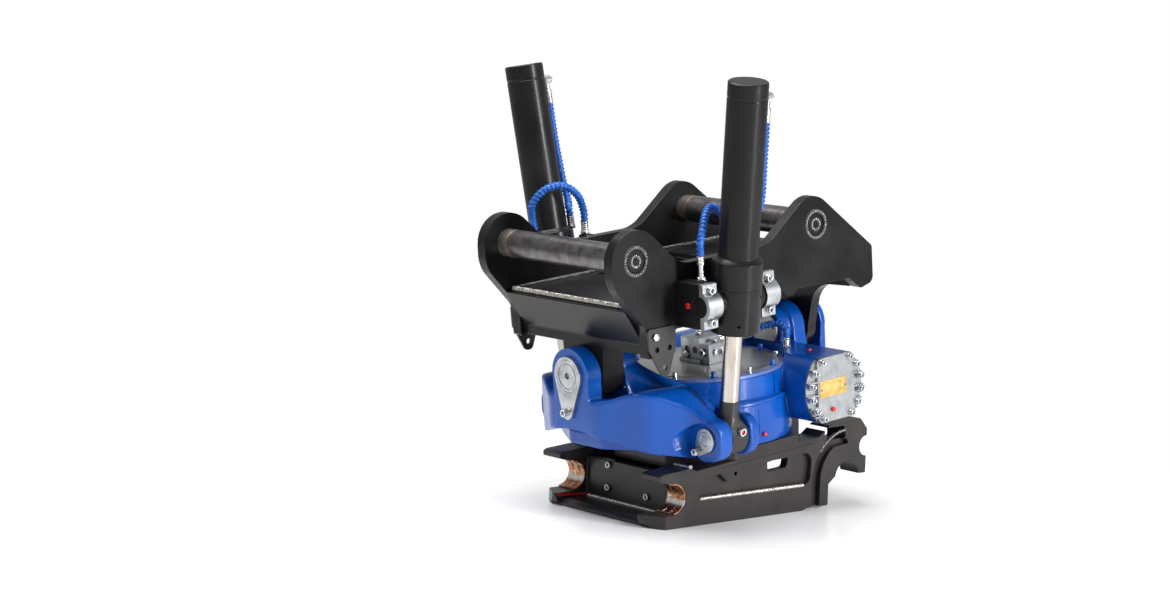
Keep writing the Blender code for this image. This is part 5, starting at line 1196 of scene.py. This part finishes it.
def dark_steel():
    """Blackened screws and bare machined steel that has gone grey."""
    material, tree, shader, place = surface("dark_steel", Metallic=0.9)
    patch = noise(tree, place, 10, 4.0, 0.6)
    tree.links.new(ramp(tree, patch, [(0.3, "4E4C4B"), (0.7, "7A7774")]), shader.inputs["Base Color"])
    tree.links.new(ramp(tree, patch, [(0.3, 0.35), (0.7, 0.5)]), shader.inputs["Roughness"])
    relief(tree, shader, noise(tree, place, 1.0, 3.0), 0.03)
    return material


def cover_slab(sign, name, corners, top):
    """A raised part of a cover, from just under its pockets' floor up to top."""
    return slab(name, corners, *sorted((sign * (pocket_floor - 0.001), sign * top)), "X")


brass_metal = brass()
grey_steel = dark_steel()
cover_root = WORM_HOUSING_X + 0.0003
pocket_floor, field, boss_top = COVER_X - 0.0105, COVER_X - 0.0022, COVER_X - 0.0006
bolt_angles = [math.radians(half_turn + 22.5 * k - 56.25) for half_turn in (0, 180) for k in range(6)]
for side, sign in SIDES.items():
    outward = "X" if sign > 0 else "-X"
    cover = slab(f"cast_cover_{side}", worm_section(), *sorted((sign * cover_root, sign * pocket_floor)),
                 "X")
    middle = [(WORM_Y + u, WORM_Z + v, 0.012) for u, v in ((-0.064, -0.0835), (0.064, -0.0835),
                                                           (0.064, 0.0835), (-0.064, 0.0835))]
    join_fast(cover, [cover_slab(sign, "cover_field", middle, field)], "UNION")
    bosses, ribs = [], []
    for angle in bolt_angles:
        y, z = WORM_Y + COVER_BOLT_R * math.cos(angle), WORM_Z + COVER_BOLT_R * math.sin(angle)
        bosses.append(rod("cover_boss", 0.0108, *sorted((sign * (pocket_floor - 0.001), sign * boss_top)),
                          (0, y, z), "X", sides=32))
        reach = math.copysign(0.0995, math.cos(angle))
        ribs.append(cover_slab(sign, "cover_rib", [(WORM_Y + reach * 0.55, z + 0.0052, 0),
                                             (WORM_Y + reach, z + 0.0052, 0),
                                             (WORM_Y + reach, z + 0.0092, 0),
                                             (WORM_Y + reach * 0.55, z + 0.0092, 0)], field - 0.0005))
    join_fast(cover, ribs, "UNION")
    join_fast(cover, bosses, "UNION")
    trim = slab("cover_trim", worm_section(COVER_R - 0.0002, COVER_FLAT - 0.0002),
                *sorted((0, sign * 0.30)), "X")
    join_fast(cover, [trim], "INTERSECT")
    if sign < 0:
        join_fast(cover, [rod("motor_bore", 0.0242, -0.29, -0.25, (0, WORM_Y, WORM_Z), "X")], "DIFFERENCE")
    seat(ease(cover, 0.0009, 2, 40), cast, "rotor", f"worm_cover_{side}")
    spots = [stand(sign * (boss_top - 0.0004), WORM_Y + COVER_BOLT_R * math.cos(a), WORM_Z
                   + COVER_BOLT_R * math.sin(a), outward)
             for a in bolt_angles]
    hollow_screws(f"cover_screws_{side}", 0.0076, 0.0100, spots, "rotor")
plate_y, plate_z = 0.1855, -0.110
tag = slab("brass_plate", [(plate_y - 0.047, plate_z - 0.0215, 0.003), (plate_y + 0.047, plate_z - 0.0215,
                                                                        0.003),
                           (plate_y + 0.047, plate_z + 0.0215, 0.003), (plate_y - 0.047, plate_z + 0.0215,
                                                                        0.003)],
           field + 0.0001, field + 0.0015, "X")
seat(ease(tag, 0.0004), brass_metal, "rotor")
spots = [stand(field + 0.0014, plate_y + step, plate_z - 0.001, "X") for step in (-0.0415, 0.0415)]
copies("brass_plate_screws", turned("pan", [(0, 0.0016), (0.0018, 0.0015), (0.0030, 0.0006), (0.0031, 0),
                                            (0, 0)], place=LEVEL, steps=20),
       spots, grey_steel, "rotor")
copies("cover_port_plug", hexagon(0.0105, 0.0065), [stand(field, 0.1817, -0.1662, "X")], red, "rotor")
copies("worm_housing_plug", turned("cap", [(0, 0.0035), (0.0062, 0.003), (0.0072, 0.0008), (0.0072, 0),
                                           (0, 0)], place=LEVEL, steps=24),
       [stand(0.1781, 0.2031, WORM_Z + COVER_FLAT + 0.0004)], red, "rotor")
copies("drum_port_plug", hexagon(0.010, 0.0065),
       [stand(DRUM_LOW_R * math.cos(math.radians(-1.5)), DRUM_LOW_R * math.sin(math.radians(-1.5)),
                                                       -0.202, "X")], red, "rotor")

# Slew motor: the orbit motor on the far end of the worm, a black cast body of stacked rings with two
# ports on top.

motor_face = -COVER_X - 0.0003
body = [(0, motor_face), (0.0400, motor_face), (0.0400, motor_face - 0.026), (0.0375, motor_face - 0.0275),
        (0.0375, motor_face - 0.0295),
        (0.0400, motor_face - 0.031), (0.0400, motor_face - 0.050), (0.0375, motor_face - 0.0515),
        (0.0375, motor_face - 0.0535),
        (0.0395, motor_face - 0.055), (0.0395, motor_face - 0.069), (0.0365, motor_face - 0.072),
        (0, motor_face - 0.072)]
motor = turned("orbit_motor", body, (0, WORM_Y, WORM_Z), "X")
flange = [(WORM_Y + u * 0.048, WORM_Z + v * 0.048, 0.012) for u, v in ((-1, -1), (1, -1), (1, 1), (-1, 1))]
fuse(motor, slab("motor_flange", flange, motor_face - 0.014, motor_face - 0.0002, "X"),
     *[rod("motor_port", 0.012, WORM_Z, WORM_Z + 0.054, (motor_face - 0.045, WORM_Y + y, 0), "Z")
       for y in (-0.020, 0.020)])
seat(ease(motor, 0.0009), black, "rotor", "slew_motor")
spots = [stand(motor_face - 0.014, WORM_Y + u * 0.037, WORM_Z + v * 0.037, "-X") for u,
         v in ((-1, -1), (1, -1), (1, 1), (-1, 1))]
copies("motor_screws", socket_screw(0.0065, 0.006), spots, zinc, "rotor")
spots = [stand(motor_face - 0.045, WORM_Y + y, WORM_Z + 0.0535) for y in (-0.020, 0.020)]
copies("motor_adaptors", hexagon(0.0185, 0.0065), spots, zinc, "rotor")

# Tilt pins and their lock plates: ground bars that carry the hitch, each kept from turning by a plated
# steel plate with a machined ring and one socket screw through its tail.


def tear_drop(radius, tail_u, tail_v, tail_radius):
    """A round plate drawn out to one side, to take its locking screw."""
    reach = math.hypot(tail_u, tail_v)
    lean = math.acos((radius - tail_radius) / reach)
    aim = math.atan2(tail_v, tail_u)
    first, last = math.degrees(aim + lean), math.degrees(aim - lean) + 360
    return fan(0, 0, radius, first, last, 48) + fan(tail_u, tail_v, tail_radius, last - 360, first, 14)


def ring_cut(name, inner, outer, low, high, centre=(0, 0, 0)):
    return turned(name, [(outer, high), (outer, low), (inner, low), (inner, high)], centre, "Y",
                  closed=True)


front = FRONT_EAR[0] - 0.0003
for name, low, high in (("front", FRONT_EAR[0] + 0.001, FRONT_INNER_EAR[1] - 0.004),
                        ("rear", REAR_HUB_Y + 0.001, REAR_EAR[1] - 0.002)):
    pin_side = [(0, high), (TILT_PIN_R - 0.002, high), (TILT_PIN_R, high - 0.002),
                (TILT_PIN_R, low + 0.002), (TILT_PIN_R - 0.002, low), (0, low)]
    seat(ease(turned(f"ground_pin_{name}", pin_side, axis="Y"), 0.0004, 1), grey_steel, "rotor",
         f"tilt_pin_{name}")
lock = slab("front_lock_plate", tear_drop(0.048, -0.008, -0.092, 0.019), front - 0.009, front, "Y")
cut(lock, ring_cut("lock_ring", 0.0300, 0.0335, front - 0.012, front - 0.0068),
    ring_cut("lock_ring", 0.0395, 0.0412, front - 0.012, front - 0.0080),
    rod("lock_hexagon", 0.0092, front - 0.012, front - 0.002, (0, 0, 0), "Y", sides=6))
seat(ease(lock, 0.0010), cast, "rotor", "tilt_lock_front")
hollow_screws("front_lock_screw", 0.0098, 0.0150, [stand(-0.008, front - 0.0088, -0.092, "-Y")], "rotor")
rear = REAR_HUB_Y - 0.0003
lock = slab("rear_lock_plate", fan(0, 0, 0.046, -37, 217, 40), rear - 0.008, rear, "Y")
seat(ease(lock, 0.0010), cast, "rotor", "tilt_lock_rear")
hollow_screws("rear_lock_screws", 0.0088, 0.0120, [stand(x, rear - 0.0078, 0.014, "-Y")
                                                   for x in (-0.034, 0.034)], "rotor")
nipple = turned("nipple", [(0, 0.0030), (0.0062, 0.0028), (0.0070, 0.0020), (0.0070, -0.002), (0, -0.002)],
                place=LEVEL, steps=20)
copies("ear_grease_point", nipple, [stand(0.0640, FRONT_INNER_EAR[0], -0.044, "-Y")], zinc, "rotor")

# Ram pins at the clevises: the same make as the tilt pins, smaller, with drawn-out lock plates.

front = CLEVIS_FRONT_EAR[0] - 0.0003
for side, sign in SIDES.items():
    low, high = CLEVIS_FRONT_EAR[0] + 0.001, CLEVIS_REAR_EAR[1] - 0.002
    pin_side = [(0, high), (CLEVIS_PIN_R - 0.0015, high), (CLEVIS_PIN_R, high - 0.0015),
                (CLEVIS_PIN_R, low), (0, low)]
    pin = turned(f"ground_ram_pin_{side}", pin_side, (sign * CLEVIS_X, 0, CLEVIS_Z), "Y", steps=48)
    seat(ease(pin, 0.0004, 1), grey_steel, "rotor", f"clevis_pin_{side}")
    edge = [(sign * (u + CLEVIS_X), v + CLEVIS_Z, r) for u, v, r in tear_drop(0.030, -0.026, -0.030, 0.013)]
    lock = slab(f"ram_lock_plate_{side}", edge, front - 0.006, front, "Y")
    fuse(lock, rod("lock_boss", 0.0205, front - 0.0085, front - 0.003, (sign * CLEVIS_X, 0, CLEVIS_Z), "Y"))
    cut(lock, ring_cut("lock_ring", 0.0120, 0.0140, front - 0.012, front - 0.0068,
                       (sign * CLEVIS_X, 0, CLEVIS_Z)))
    seat(ease(lock, 0.0008), cast, "rotor", f"clevis_lock_{side}")
    spot = stand(sign * (CLEVIS_X - 0.026), front - 0.0058, CLEVIS_Z - 0.030, "-Y")
    hollow_screws(f"ram_lock_screw_{side}", 0.0094, 0.0165, [spot], "rotor")

# Valve block: a milled aluminium block on the disc that shares the oil out, with plugs and adaptors in
# its ports and a hose that leads back along the rotor to an elbow on the worm housing.

low, high = (-0.060, -0.020, DISC_TOP + 0.0003), (0.045, 0.050, 0.018)
block = box("milled_block", low, high, ROTOR)
fuse(block, box("block_foot", (low[0] + 0.002, low[1] - 0.010, low[2]), (high[0] - 0.030, low[1] + 0.004,
                                                                         low[2] + 0.010), ROTOR))
cut(block, box("block_step", (low[0] + 0.070, low[1] - 0.01, high[2] - 0.012),
               (high[0] + 0.01, high[1] + 0.01, high[2] + 0.01), ROTOR))
middle = (low[2] + high[2]) / 2
cut(block, *[rod("port", 0.0085, low[1] - 0.01, low[1] + 0.004, (x, 0, middle), "Y")
             for x in (-0.038, -0.008)])
seat(ease(block, 0.0012), cast, "rotor", "valve_block")
spots = [stand(0.022, low[1] + 0.0005, middle - 0.004, "-Y"), stand(high[0] - 0.0005, 0.030,
                                                                    middle - 0.004, "X")]
hollow_screws("block_ring_plugs", 0.0112, 0.0085, spots, "rotor")
spots = [stand(x, low[1] + 0.0035, middle, "-Y") for x in (-0.038, -0.008)]
copies("block_sunk_plugs", socket_screw(0.0078, 0.0030), spots, grey_steel, "rotor")
spots = [stand(-0.030, 0.015, high[2] - 0.0005), stand(-0.046, 0.034, high[2] - 0.0005),
         stand(high[0] - 0.0005, 0.002, middle - 0.002, "X"),
         stand(0.028, 0.016, high[2] - 0.0125), stand(-0.040, low[1] + 0.0005, low[2] + 0.018, "-Y")]
copies("block_hex_plugs", hexagon(0.0170, 0.0085), spots, zinc, "rotor")
start = (-0.008, high[1], 0.002)
copies("block_adaptor", hexagon(0.0185, 0.009), [stand(start[0], start[1] - 0.0005, start[2], "Y")], zinc,
       "rotor")
copies("block_ferrule", ferrule(0.0172), [stand(start[0], start[1] + 0.0084, start[2], "Y")], zinc, "rotor")
elbow_foot = WORM_Z + COVER_FLAT + 0.0003
last = (0.110, 0.190)
route = [(start[0], start[1] + 0.026, start[2]), (start[0], start[1] + 0.040, start[2]),
         (0.010, 0.130, 0.010), (0.045, 0.165, 0.022),
         (0.085, 0.186, 0.032), (*last, elbow_foot + 0.048), (*last, elbow_foot + 0.027)]
fixed_hose("valve_hose_jacket", route, ROTOR, "rotor", "valve_hose")
elbow = turned("return_adaptor", [(0, elbow_foot + 0.012), (0.0078, elbow_foot + 0.012),
                                  (0.0078, elbow_foot), (0, elbow_foot)], (*last, 0))
seat(ease(elbow, 0.0004), zinc, "rotor", "return_elbow")
copies("return_nut", hexagon(0.019, 0.008), [stand(*last, elbow_foot)], zinc, "rotor")
copies("return_ferrule", ferrule(0.0150), [stand(*last, elbow_foot + 0.0115)], zinc, "rotor")

# Tool coupler: two thick side frames cut from plate, with a hook at the front and another at the rear,
# tied by the front wall and its lip. Bronze liners are let into the front jaws. Weld runs show bright
# along the pockets.

JAW_Y, JAW_Z, JAW_R, REAR_JAW_R = -0.2819, 0.0727, 0.0395, 0.043
COUPLER_HALF, HOOK_T, DECK_TOP, DECK_T, DECK_APOTHEM = 0.2225, 0.0665, -0.226, 0.022, 0.235
AXIS_HEIGHT = slew_joint["pos_m"][2]


def rotor_plane(y, level):
    """Height above the floor of a plane square to the leaning rotor axis, at a floor coordinate y."""
    return AXIS_HEIGHT + y * math.tan(lean) + level / math.cos(lean)


def frame_top(y, level):
    return y, rotor_plane(JAW_Y + y, level) - JAW_Z


def in_jaw(corners):
    """Corners drawn from the front jaw's centre, moved to their place."""
    return [(u + JAW_Y, v + JAW_Z, radius) for u, v, radius in corners]


warm_grey = plate_paint("warm_grey_paint", ("211E1D", "292625", "332F2D"), 0.30)
deck_line = DECK_TOP - DECK_T - 0.0003
frame_edge = [(-0.062, -0.046, 0.004), (-0.054, -0.062, 0.004), (-0.036, -0.0727, 0), (0.443, -0.0727, 0),
              (0.456, -0.067, 0), (0.533, -0.067, 0.004), (0.533, -0.012, 0)]
frame_edge += fan(PIN_SPACING, 0, REAR_JAW_R, 172, 8, 28)
frame_edge += [(0.667, 0.006, 0.003)] + fan(0.668, 0.077, 0.027, 268, 92, 20)
frame_edge += [(0.667, 0.122, 0.006), (*frame_top(0.640, DRUM_BOTTOM - 0.002), 0.012),
               (*frame_top(0.530, DRUM_BOTTOM - 0.002), 0.01),
               (*frame_top(0.492, deck_line), 0.01), (*frame_top(0.070, deck_line), 0),
               (0.052, 0.072, 0.01), (-0.040, 0.064, 0.005),
               (-0.050, 0.060, 0.003), (-0.050, 0.047, 0.003), (-0.022, 0.0405, 0)]
frame_edge += fan(0, 0, JAW_R, 100, -90, 30) + [(-0.058, -0.0405, 0.003)]
pocket = [(0.080, -0.006, 0.004), (0.465, -0.006, 0.022), (0.470, 0.079, 0.026), (0.222, 0.057, 0),
          (0.208, 0.034, 0.006), (0.176, 0.027, 0.006), (0.152, 0.050, 0), (0.080, 0.044, 0.006)]
window = [(0.326, 0.036, 0.004), (0.392, 0.042, 0.010), (0.398, 0.071, 0.010), (0.324, 0.067, 0.004)]
rear_window = [(0.514, 0.098, 0.008), (0.590, 0.101, 0.008), (0.584, 0.136, 0.010), (0.512, 0.134, 0.008)]
hollow = [(0.100, -0.050, 0.010), (0.466, -0.050, 0.010), (0.466, 0.066, 0.010), (0.100, 0.034, 0.010)]
groove = [(0.473, -0.090, 0)] + fan(PIN_SPACING, 0, 0.127, 180, 128, 12) + [(0.594, 0.101, 0),
                                                                            (0.600, 0.089, 0)]
groove += fan(PIN_SPACING, 0, 0.097, 122, 180, 12) + [(0.503, -0.090, 0)]
border = [(0.150, 0.064, 0), (0.462, 0.0975, 0), (0.462, 0.1005, 0), (0.150, 0.067, 0)]
inner, outer = COUPLER_HALF - HOOK_T, COUPLER_HALF
for side, sign in SIDES.items():
    side_frame = slab(f"side_frame_{side}", in_jaw(frame_edge), *sorted((sign * inner, sign * outer)), "X",
                      LEVEL)
    cuts = []
    for shape, first, last_x in ((pocket, outer - 0.013, outer + 0.01),
                                 (hollow, inner - 0.01, inner + 0.030),
                                 (window, inner - 0.02, outer + 0.02),
                                 (rear_window, inner - 0.02, outer + 0.02),
                                 (groove, outer - 0.014, outer + 0.01),
                                 (border, outer - 0.0015, outer + 0.01)):
        cuts.append(slab("side_cut", in_jaw(shape), *sorted((sign * first, sign * last_x)), "X", LEVEL))
    cuts.append(rod("eyelet", 0.0056, *sorted((sign * (outer - 0.012), sign * (outer + 0.01))),
                    (0, JAW_Y + 0.2031, JAW_Z + 0.046), "X", LEVEL, 24))
    corner = [(sign * (outer + 0.01), JAW_Y - 0.020, 0), (sign * (inner + 0.004), JAW_Y - 0.066, 0),
              (sign * (inner + 0.004), JAW_Y - 0.120, 0), (sign * (outer + 0.01), JAW_Y - 0.120, 0)]
    cuts.append(slab("lip_corner", corner, -0.01, JAW_Z - 0.030, "Z", LEVEL))
    for tool in cuts:
        join_fast(side_frame, [tool], "DIFFERENCE")
    seat(ease(side_frame, 0.0022, 3), warm_grey, "coupler", f"coupler_side_{side}")
    x = sign * (outer - 0.0015)
    weld(f"pocket_weld_{side}", [(x, JAW_Y + 0.084, JAW_Z - 0.0065), (x, JAW_Y + 0.4415, JAW_Z - 0.0065)],
         0.0046, "coupler", bead_metal, LEVEL)
    x = sign * (outer - 0.0020)
    arch = around(0.1250, (x, JAW_Y + PIN_SPACING, JAW_Z), "X", 0, 360, 120)
    arch = [spot for spot in arch
            if spot.z > JAW_Z + 0.070 and JAW_Y + PIN_SPACING - 0.105 < spot.y < JAW_Y + PIN_SPACING - 0.012]
    arch.sort(key=lambda spot: spot.y)
    weld(f"rear_jaw_weld_{side}", arch, 0.0044, "coupler", painted_bead, LEVEL)

# Jaw liners: half shells of copper-washed steel pressed into the front jaws, worn bright in a band where
# the tool's pin bears.


def liner_metal():
    """Copper wash over steel, mottled with rust, and polished to bare steel in the middle of the jaw."""
    material, tree, shader, place = surface("copper_washed_steel", Metallic=1.0)
    patch = noise(tree, place, 14, 5.0, 0.7)
    wash = ramp(tree, patch, [(0.30, "6E4530"), (0.48, "A87656"), (0.60, "C9A488"), (0.74, "D9CDC2")])
    height = node(tree, "ShaderNodeSeparateXYZ", {"Vector": place}).outputs["Z"]
    height = node(tree, "ShaderNodeMath", {0: noise(tree, place, 20, 3.0), 1: 0.008, 2: height},
                  operation="MULTIPLY_ADD").outputs[0]
    gap = node(tree, "ShaderNodeMath", {0: height, 1: JAW_Z - 0.0085}, operation="SUBTRACT").outputs[0]
    gap = node(tree, "ShaderNodeMath", {0: gap}, operation="ABSOLUTE").outputs[0]
    worn = node(tree, "ShaderNodeMapRange", {"Value": gap, "From Min": 0.004, "From Max": 0.009,
                                             "To Min": 0.9, "To Max": 0.0}).outputs[0]
    tone = node(tree, "ShaderNodeMix", {0: worn, "A": wash, "B": rgb("E2DED9")},
                data_type="RGBA").outputs[2]
    tree.links.new(tone, shader.inputs["Base Color"])
    tree.links.new(ramp(tree, patch, [(0.3, 0.38), (0.7, 0.22)]), shader.inputs["Roughness"])
    relief(tree, shader, noise(tree, place, 4.0, 3.0), 0.05)
    return material


copper_wash = liner_metal()

liner_out, liner_in = JAW_R - 0.0009, JAW_R - 0.0045
liner = in_jaw(fan(0, 0, liner_out, 96, -86, 30) + fan(0, 0, liner_in, -86, 96, 30))
for side, sign in SIDES.items():
    shell = slab(f"liner_shell_{side}", liner, *sorted((sign * (inner + 0.002), sign * (outer - 0.002))),
                 "X", LEVEL)
    for x in (inner + 0.020, inner + 0.044):
        cut(shell, turned("oil_groove", [(0.0362, sign * x + 0.0018), (0.0362, sign * x - 0.0018),
                                         (0.030, sign * x - 0.0018),
                                         (0.030, sign * x + 0.0018)], (0, JAW_Y, JAW_Z), "X", LEVEL,
                          closed=True))
    seat(ease(shell, 0.0005), copper_wash, "coupler", f"jaw_liner_{side}")
strip = [(JAW_Y - 0.055, JAW_Z - 0.0422, 0.001), (JAW_Y + 0.070, JAW_Z - 0.0490, 0.001),
         (JAW_Y + 0.070, JAW_Z - 0.0535, 0.001), (JAW_Y - 0.055, JAW_Z - 0.0487, 0.001)]
seat(ease(slab("red_wear_strip", strip, -inner, -inner + 0.0016, "X", LEVEL), 0.0003), red, "coupler")

# Cross pieces of the coupler: front wall on its floor lip, with four socket screws, a centre web and the
# rear beam that guides the lock pins. All are plate, welded in and sprayed.

between = inner - 0.0003
wall_y = JAW_Y + 0.045
wall_top = rotor_plane(wall_y, DECK_TOP - DECK_T - 0.013) - 0.0013
wall = box("front_wall", (-between, wall_y, 0.012), (between, wall_y + 0.022, wall_top))
lip = in_jaw([(-0.042, -0.0727, 0), (0.092, -0.0727, 0), (0.092, -0.0545, 0), (-0.030, -0.0545, 0.004),
              (-0.048, -0.064, 0.003)])
seat(ease(wall, 0.0018), warm_grey, "coupler", "coupler_front_wall")
seat(ease(slab("front_lip", lip, -between, between, "X", LEVEL), 0.0018), warm_grey, "coupler",
     "coupler_front_wall")
spots = [stand(x, wall_y + 0.0005, JAW_Z + z, "-Y", LEVEL) for x in (-0.074, 0.074)
         for z in (-0.022, 0.036)]
hollow_screws("front_wall_screws", 0.0085, 0.0086, spots, "coupler")
weld("front_wall_weld", [(-between + 0.004, wall_y - 0.0015, JAW_Z - 0.0535),
                         (between - 0.004, wall_y - 0.0015, JAW_Z - 0.0535)], 0.0050,
     "coupler", bead_metal, LEVEL)
for side, sign in SIDES.items():
    x = sign * (between - 0.0012)
    weld(f"wall_side_weld_{side}", [(x, wall_y - 0.0012, 0.024), (x, wall_y - 0.0012, wall_top - 0.004)],
         0.0044, "coupler", warm_grey, LEVEL)
    weld(f"hook_root_weld_{side}", [(sign * (inner + 0.004), JAW_Y + 0.0535, JAW_Z + 0.0745),
                                    (sign * (outer - 0.004), JAW_Y + 0.0535, JAW_Z + 0.0745)],
         0.0050, "coupler", bead_metal, LEVEL)
LOCK_PIN_R, LOCK_PIN_X, LOCK_Z = 0.016, 0.105, JAW_Z - 0.046
web_top = rotor_plane(-0.02, DECK_TOP - DECK_T - 0.013) - 0.0008
web = cut(box("centre_web", (-between, -0.020, 0), (between, 0.020, web_top)),
          rod("barrel_bore", 0.0285, -0.1, 0.1, (0, 0, LOCK_Z + 0.006), "Y", LEVEL))
seat(ease(web, 0.0015), warm_grey, "coupler", "coupler_centre_web")
beam_front = JAW_Y + 0.456
beam = box("lock_beam", (-between, beam_front, JAW_Z - 0.067), (between, JAW_Y + 0.532, JAW_Z - 0.010))
cut(beam, *[rod("pin_bore", LOCK_PIN_R + 0.0005, beam_front - 0.05, beam_front + 0.15, (x, 0, LOCK_Z), "Y",
                LEVEL) for x in (-LOCK_PIN_X, LOCK_PIN_X)])
seat(ease(beam, 0.0015), warm_grey, "coupler", "coupler_lock_beam")

# Slewing deck: the octagonal plate under the rotor with its thinner underlay, square to the rotor's axis.

reach, step = DECK_APOTHEM, DECK_APOTHEM * math.tan(math.pi / 8)
corner = reach * math.sqrt(2) - COUPLER_HALF
half = [(COUPLER_HALF, -corner, 0.006), (step, -reach, 0.006), (-step, -reach, 0.006),
        (-COUPLER_HALF, -corner, 0.006)]
deck = slab("octagon_deck", half + [(-u, -v, r) for u, v, r in half], DECK_TOP - DECK_T, DECK_TOP, "Z")
limit, trim = 0.150, 0.002
corner = reach * math.sqrt(2) - limit
half = [(limit, -corner, 0), (step - trim, trim - reach, 0), (trim - step, trim - reach, 0),
        (-limit, -corner, 0)]
fuse(deck, slab("deck_underlay", half + [(-u, -v, r) for u, v, r in half], DECK_TOP - DECK_T - 0.013,
                DECK_TOP - DECK_T + 0.001, "Z"))
cut(deck, rod("deck_bore", 0.041, -0.4, -0.1, (0, 0, 0), "Z"), rod("underlay_bore", 0.060, -0.4,
                                                                   DECK_TOP - DECK_T, (0, 0, 0), "Z"))
seat(ease(deck, 0.0016), warm_grey, "coupler", "slew_deck")

# What works inside keeps its solids: worm and wheel, bearings, swivel core and the lock gear.

INSIDE = {"worm_wheel": bronze, "worm_shaft": grey_steel, "worm_bearing_near": grey_steel,
          "worm_bearing_far": grey_steel,
          "slew_bearing": bronze, "swivel_core": grey_steel, "lock_barrel": black, "lock_crosshead": black}
for name, finish in INSIDE.items():
    inner_piece = frame["nodes"][name]
    inner_piece.data.materials.clear()
    inner_piece.data.materials.append(finish)
